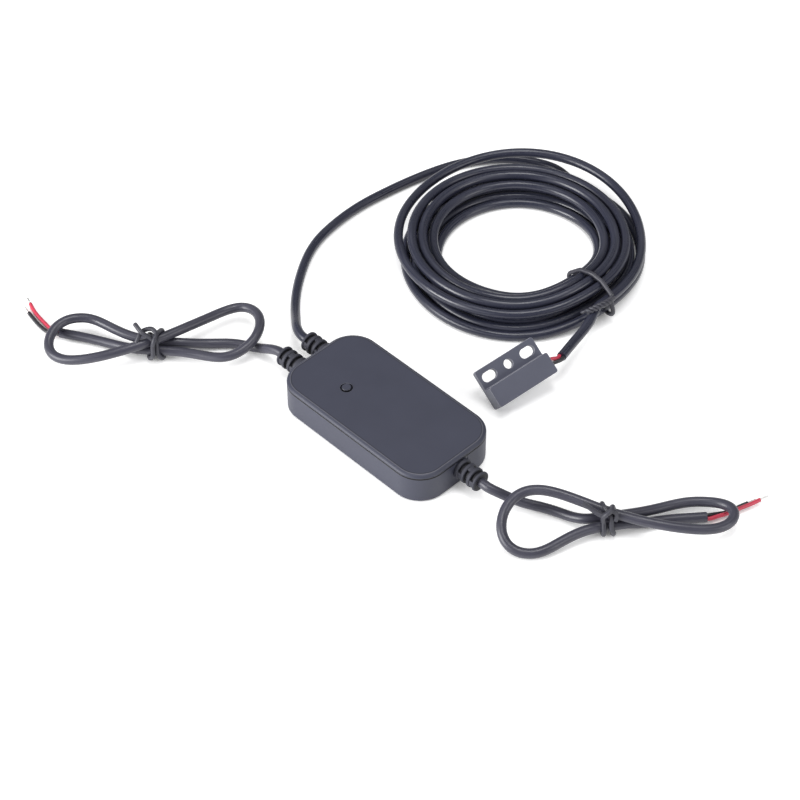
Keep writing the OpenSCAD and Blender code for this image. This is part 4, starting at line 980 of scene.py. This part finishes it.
def sensor_wire(side):
    """A wire from the cut jacket into the end of the sensor's block."""
    end = np.array(sensor_tail[-1])
    run = unit(end - sensor_tail[-2])
    start = end - side * WIRE_OUT * unit(np.cross(run, (0, 0, 1)))
    place = -EAR_W / 2 - side * WIRE_OUT
    return np.array([
        start,
        start + WIRE_STRAIGHT * run,
        on_sensor((SENSOR_L / 2 + WIRE_BEFORE, place, SENSOR_T / 2)),
        on_sensor((SENSOR_L / 2 - WIRE_INSIDE, place, SENSOR_T / 2)),
    ])


for shade, finish, side in (("red", red_insulation, -1), ("black", black_insulation, 1)):
    route = smooth_route(sensor_wire(side), step=0.3)
    wire = ring_piece(f"sensor_{shade}_lead", [tube_rings(route, WIRE_R, WIRE_SIDES)], finish)
    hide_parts(f"sensor_{shade}_wire")

dress(red_insulation, "inner_red_wires")
dress(black_insulation, "inner_black_wires")


# Studio
# A white table and soft light from large panels: one low in front on the left, a weaker one on the
# right and one overhead. The camera stands where the photograph was taken from.

TABLE_WHITE, TABLE_GLOW = (0.9, 0.9, 0.9), 0.45
TABLE_HALF, TABLE_Z = 4.0, -0.0001
GAP_REACH, GAP_SPAN = 0.02, (0.1, 0.45)
AIM = Vector((-0.00571, 0.01194, 0.0))


def table_white():
    """White table that keeps the shadow: matt white, plus a glow.

    Only camera, glossy and transmitted rays see the glow. It fades in narrow gaps, by how much of the
    sky the table sees within a short reach.
    """
    material = bpy.data.materials.new("table_white")
    material.use_nodes = True
    tree = material.node_tree
    shader = tree.nodes["Principled BSDF"]
    shader.inputs["Base Color"].default_value = colour(TABLE_WHITE)
    shader.inputs["Roughness"].default_value = 0.9
    shader.inputs["Emission Color"].default_value = (1, 1, 1, 1)
    sky = tree.nodes.new("ShaderNodeAmbientOcclusion")
    sky.samples = 8
    sky.inputs["Distance"].default_value = GAP_REACH
    open_air = tree.nodes.new("ShaderNodeMapRange")
    open_air.inputs["From Min"].default_value = GAP_SPAN[0]
    open_air.inputs["From Max"].default_value = GAP_SPAN[1]
    tree.links.new(sky.outputs["AO"], open_air.inputs["Value"])
    rays = tree.nodes.new("ShaderNodeLightPath")
    seen = maths(tree, "MAXIMUM", rays.outputs["Is Camera Ray"], rays.outputs["Is Glossy Ray"])
    seen = maths(tree, "MAXIMUM", seen, rays.outputs["Is Transmission Ray"])
    glow = maths(tree, "MULTIPLY", seen, TABLE_GLOW)
    glow = maths(tree, "MULTIPLY", open_air.outputs["Result"], glow)
    tree.links.new(glow, shader.inputs["Emission Strength"])
    return material


table_corners = [
    (x * TABLE_HALF, y * TABLE_HALF, TABLE_Z) for x, y in ((-1, -1), (1, -1), (1, 1), (-1, 1))
]
table_mesh = bpy.data.meshes.new("table")
table_mesh.from_pydata(table_corners, [], [(0, 1, 2, 3)])
table_mesh.materials.append(table_white())
table = bpy.data.objects.new("table", table_mesh)
bpy.context.scene.collection.objects.link(table)


def panel(name, place, size, power):
    """A square soft panel that faces the object."""
    light = bpy.data.lights.new(name, "AREA")
    light.shape = "SQUARE"
    light.size = size
    light.energy = power
    lamp = bpy.data.objects.new(name, light)
    lamp.location = place
    lamp.rotation_euler = (AIM - Vector(place)).to_track_quat("-Z", "Y").to_euler()
    bpy.context.scene.collection.objects.link(lamp)


panel("front_panel", (-0.45, -1.1, 0.45), 0.7, 20.0)
panel("top_panel", (0.0, 0.1, 1.0), 0.4, 3.8)
panel("right_panel", (1.1, 0.35, 0.5), 0.6, 4.4)

world = bpy.data.worlds.new("studio")
bpy.context.scene.world = world
world.use_nodes = True
world.node_tree.nodes["Background"].inputs["Color"].default_value = (1, 1, 1, 1)
world.node_tree.nodes["Background"].inputs["Strength"].default_value = 0.3

lens = bpy.data.cameras.new("photo_view")
lens.lens = 102.66
lens.sensor_width = 36
lens.clip_start = 0.01
camera = bpy.data.objects.new("photo_view", lens)
camera.location = (0.3599, -0.3465, 0.5160)
camera.rotation_euler = (AIM - camera.location).to_track_quat("-Z", "Y").to_euler()
bpy.context.scene.collection.objects.link(camera)
bpy.context.scene.camera = camera
bpy.context.scene.view_settings.view_transform = "Standard"
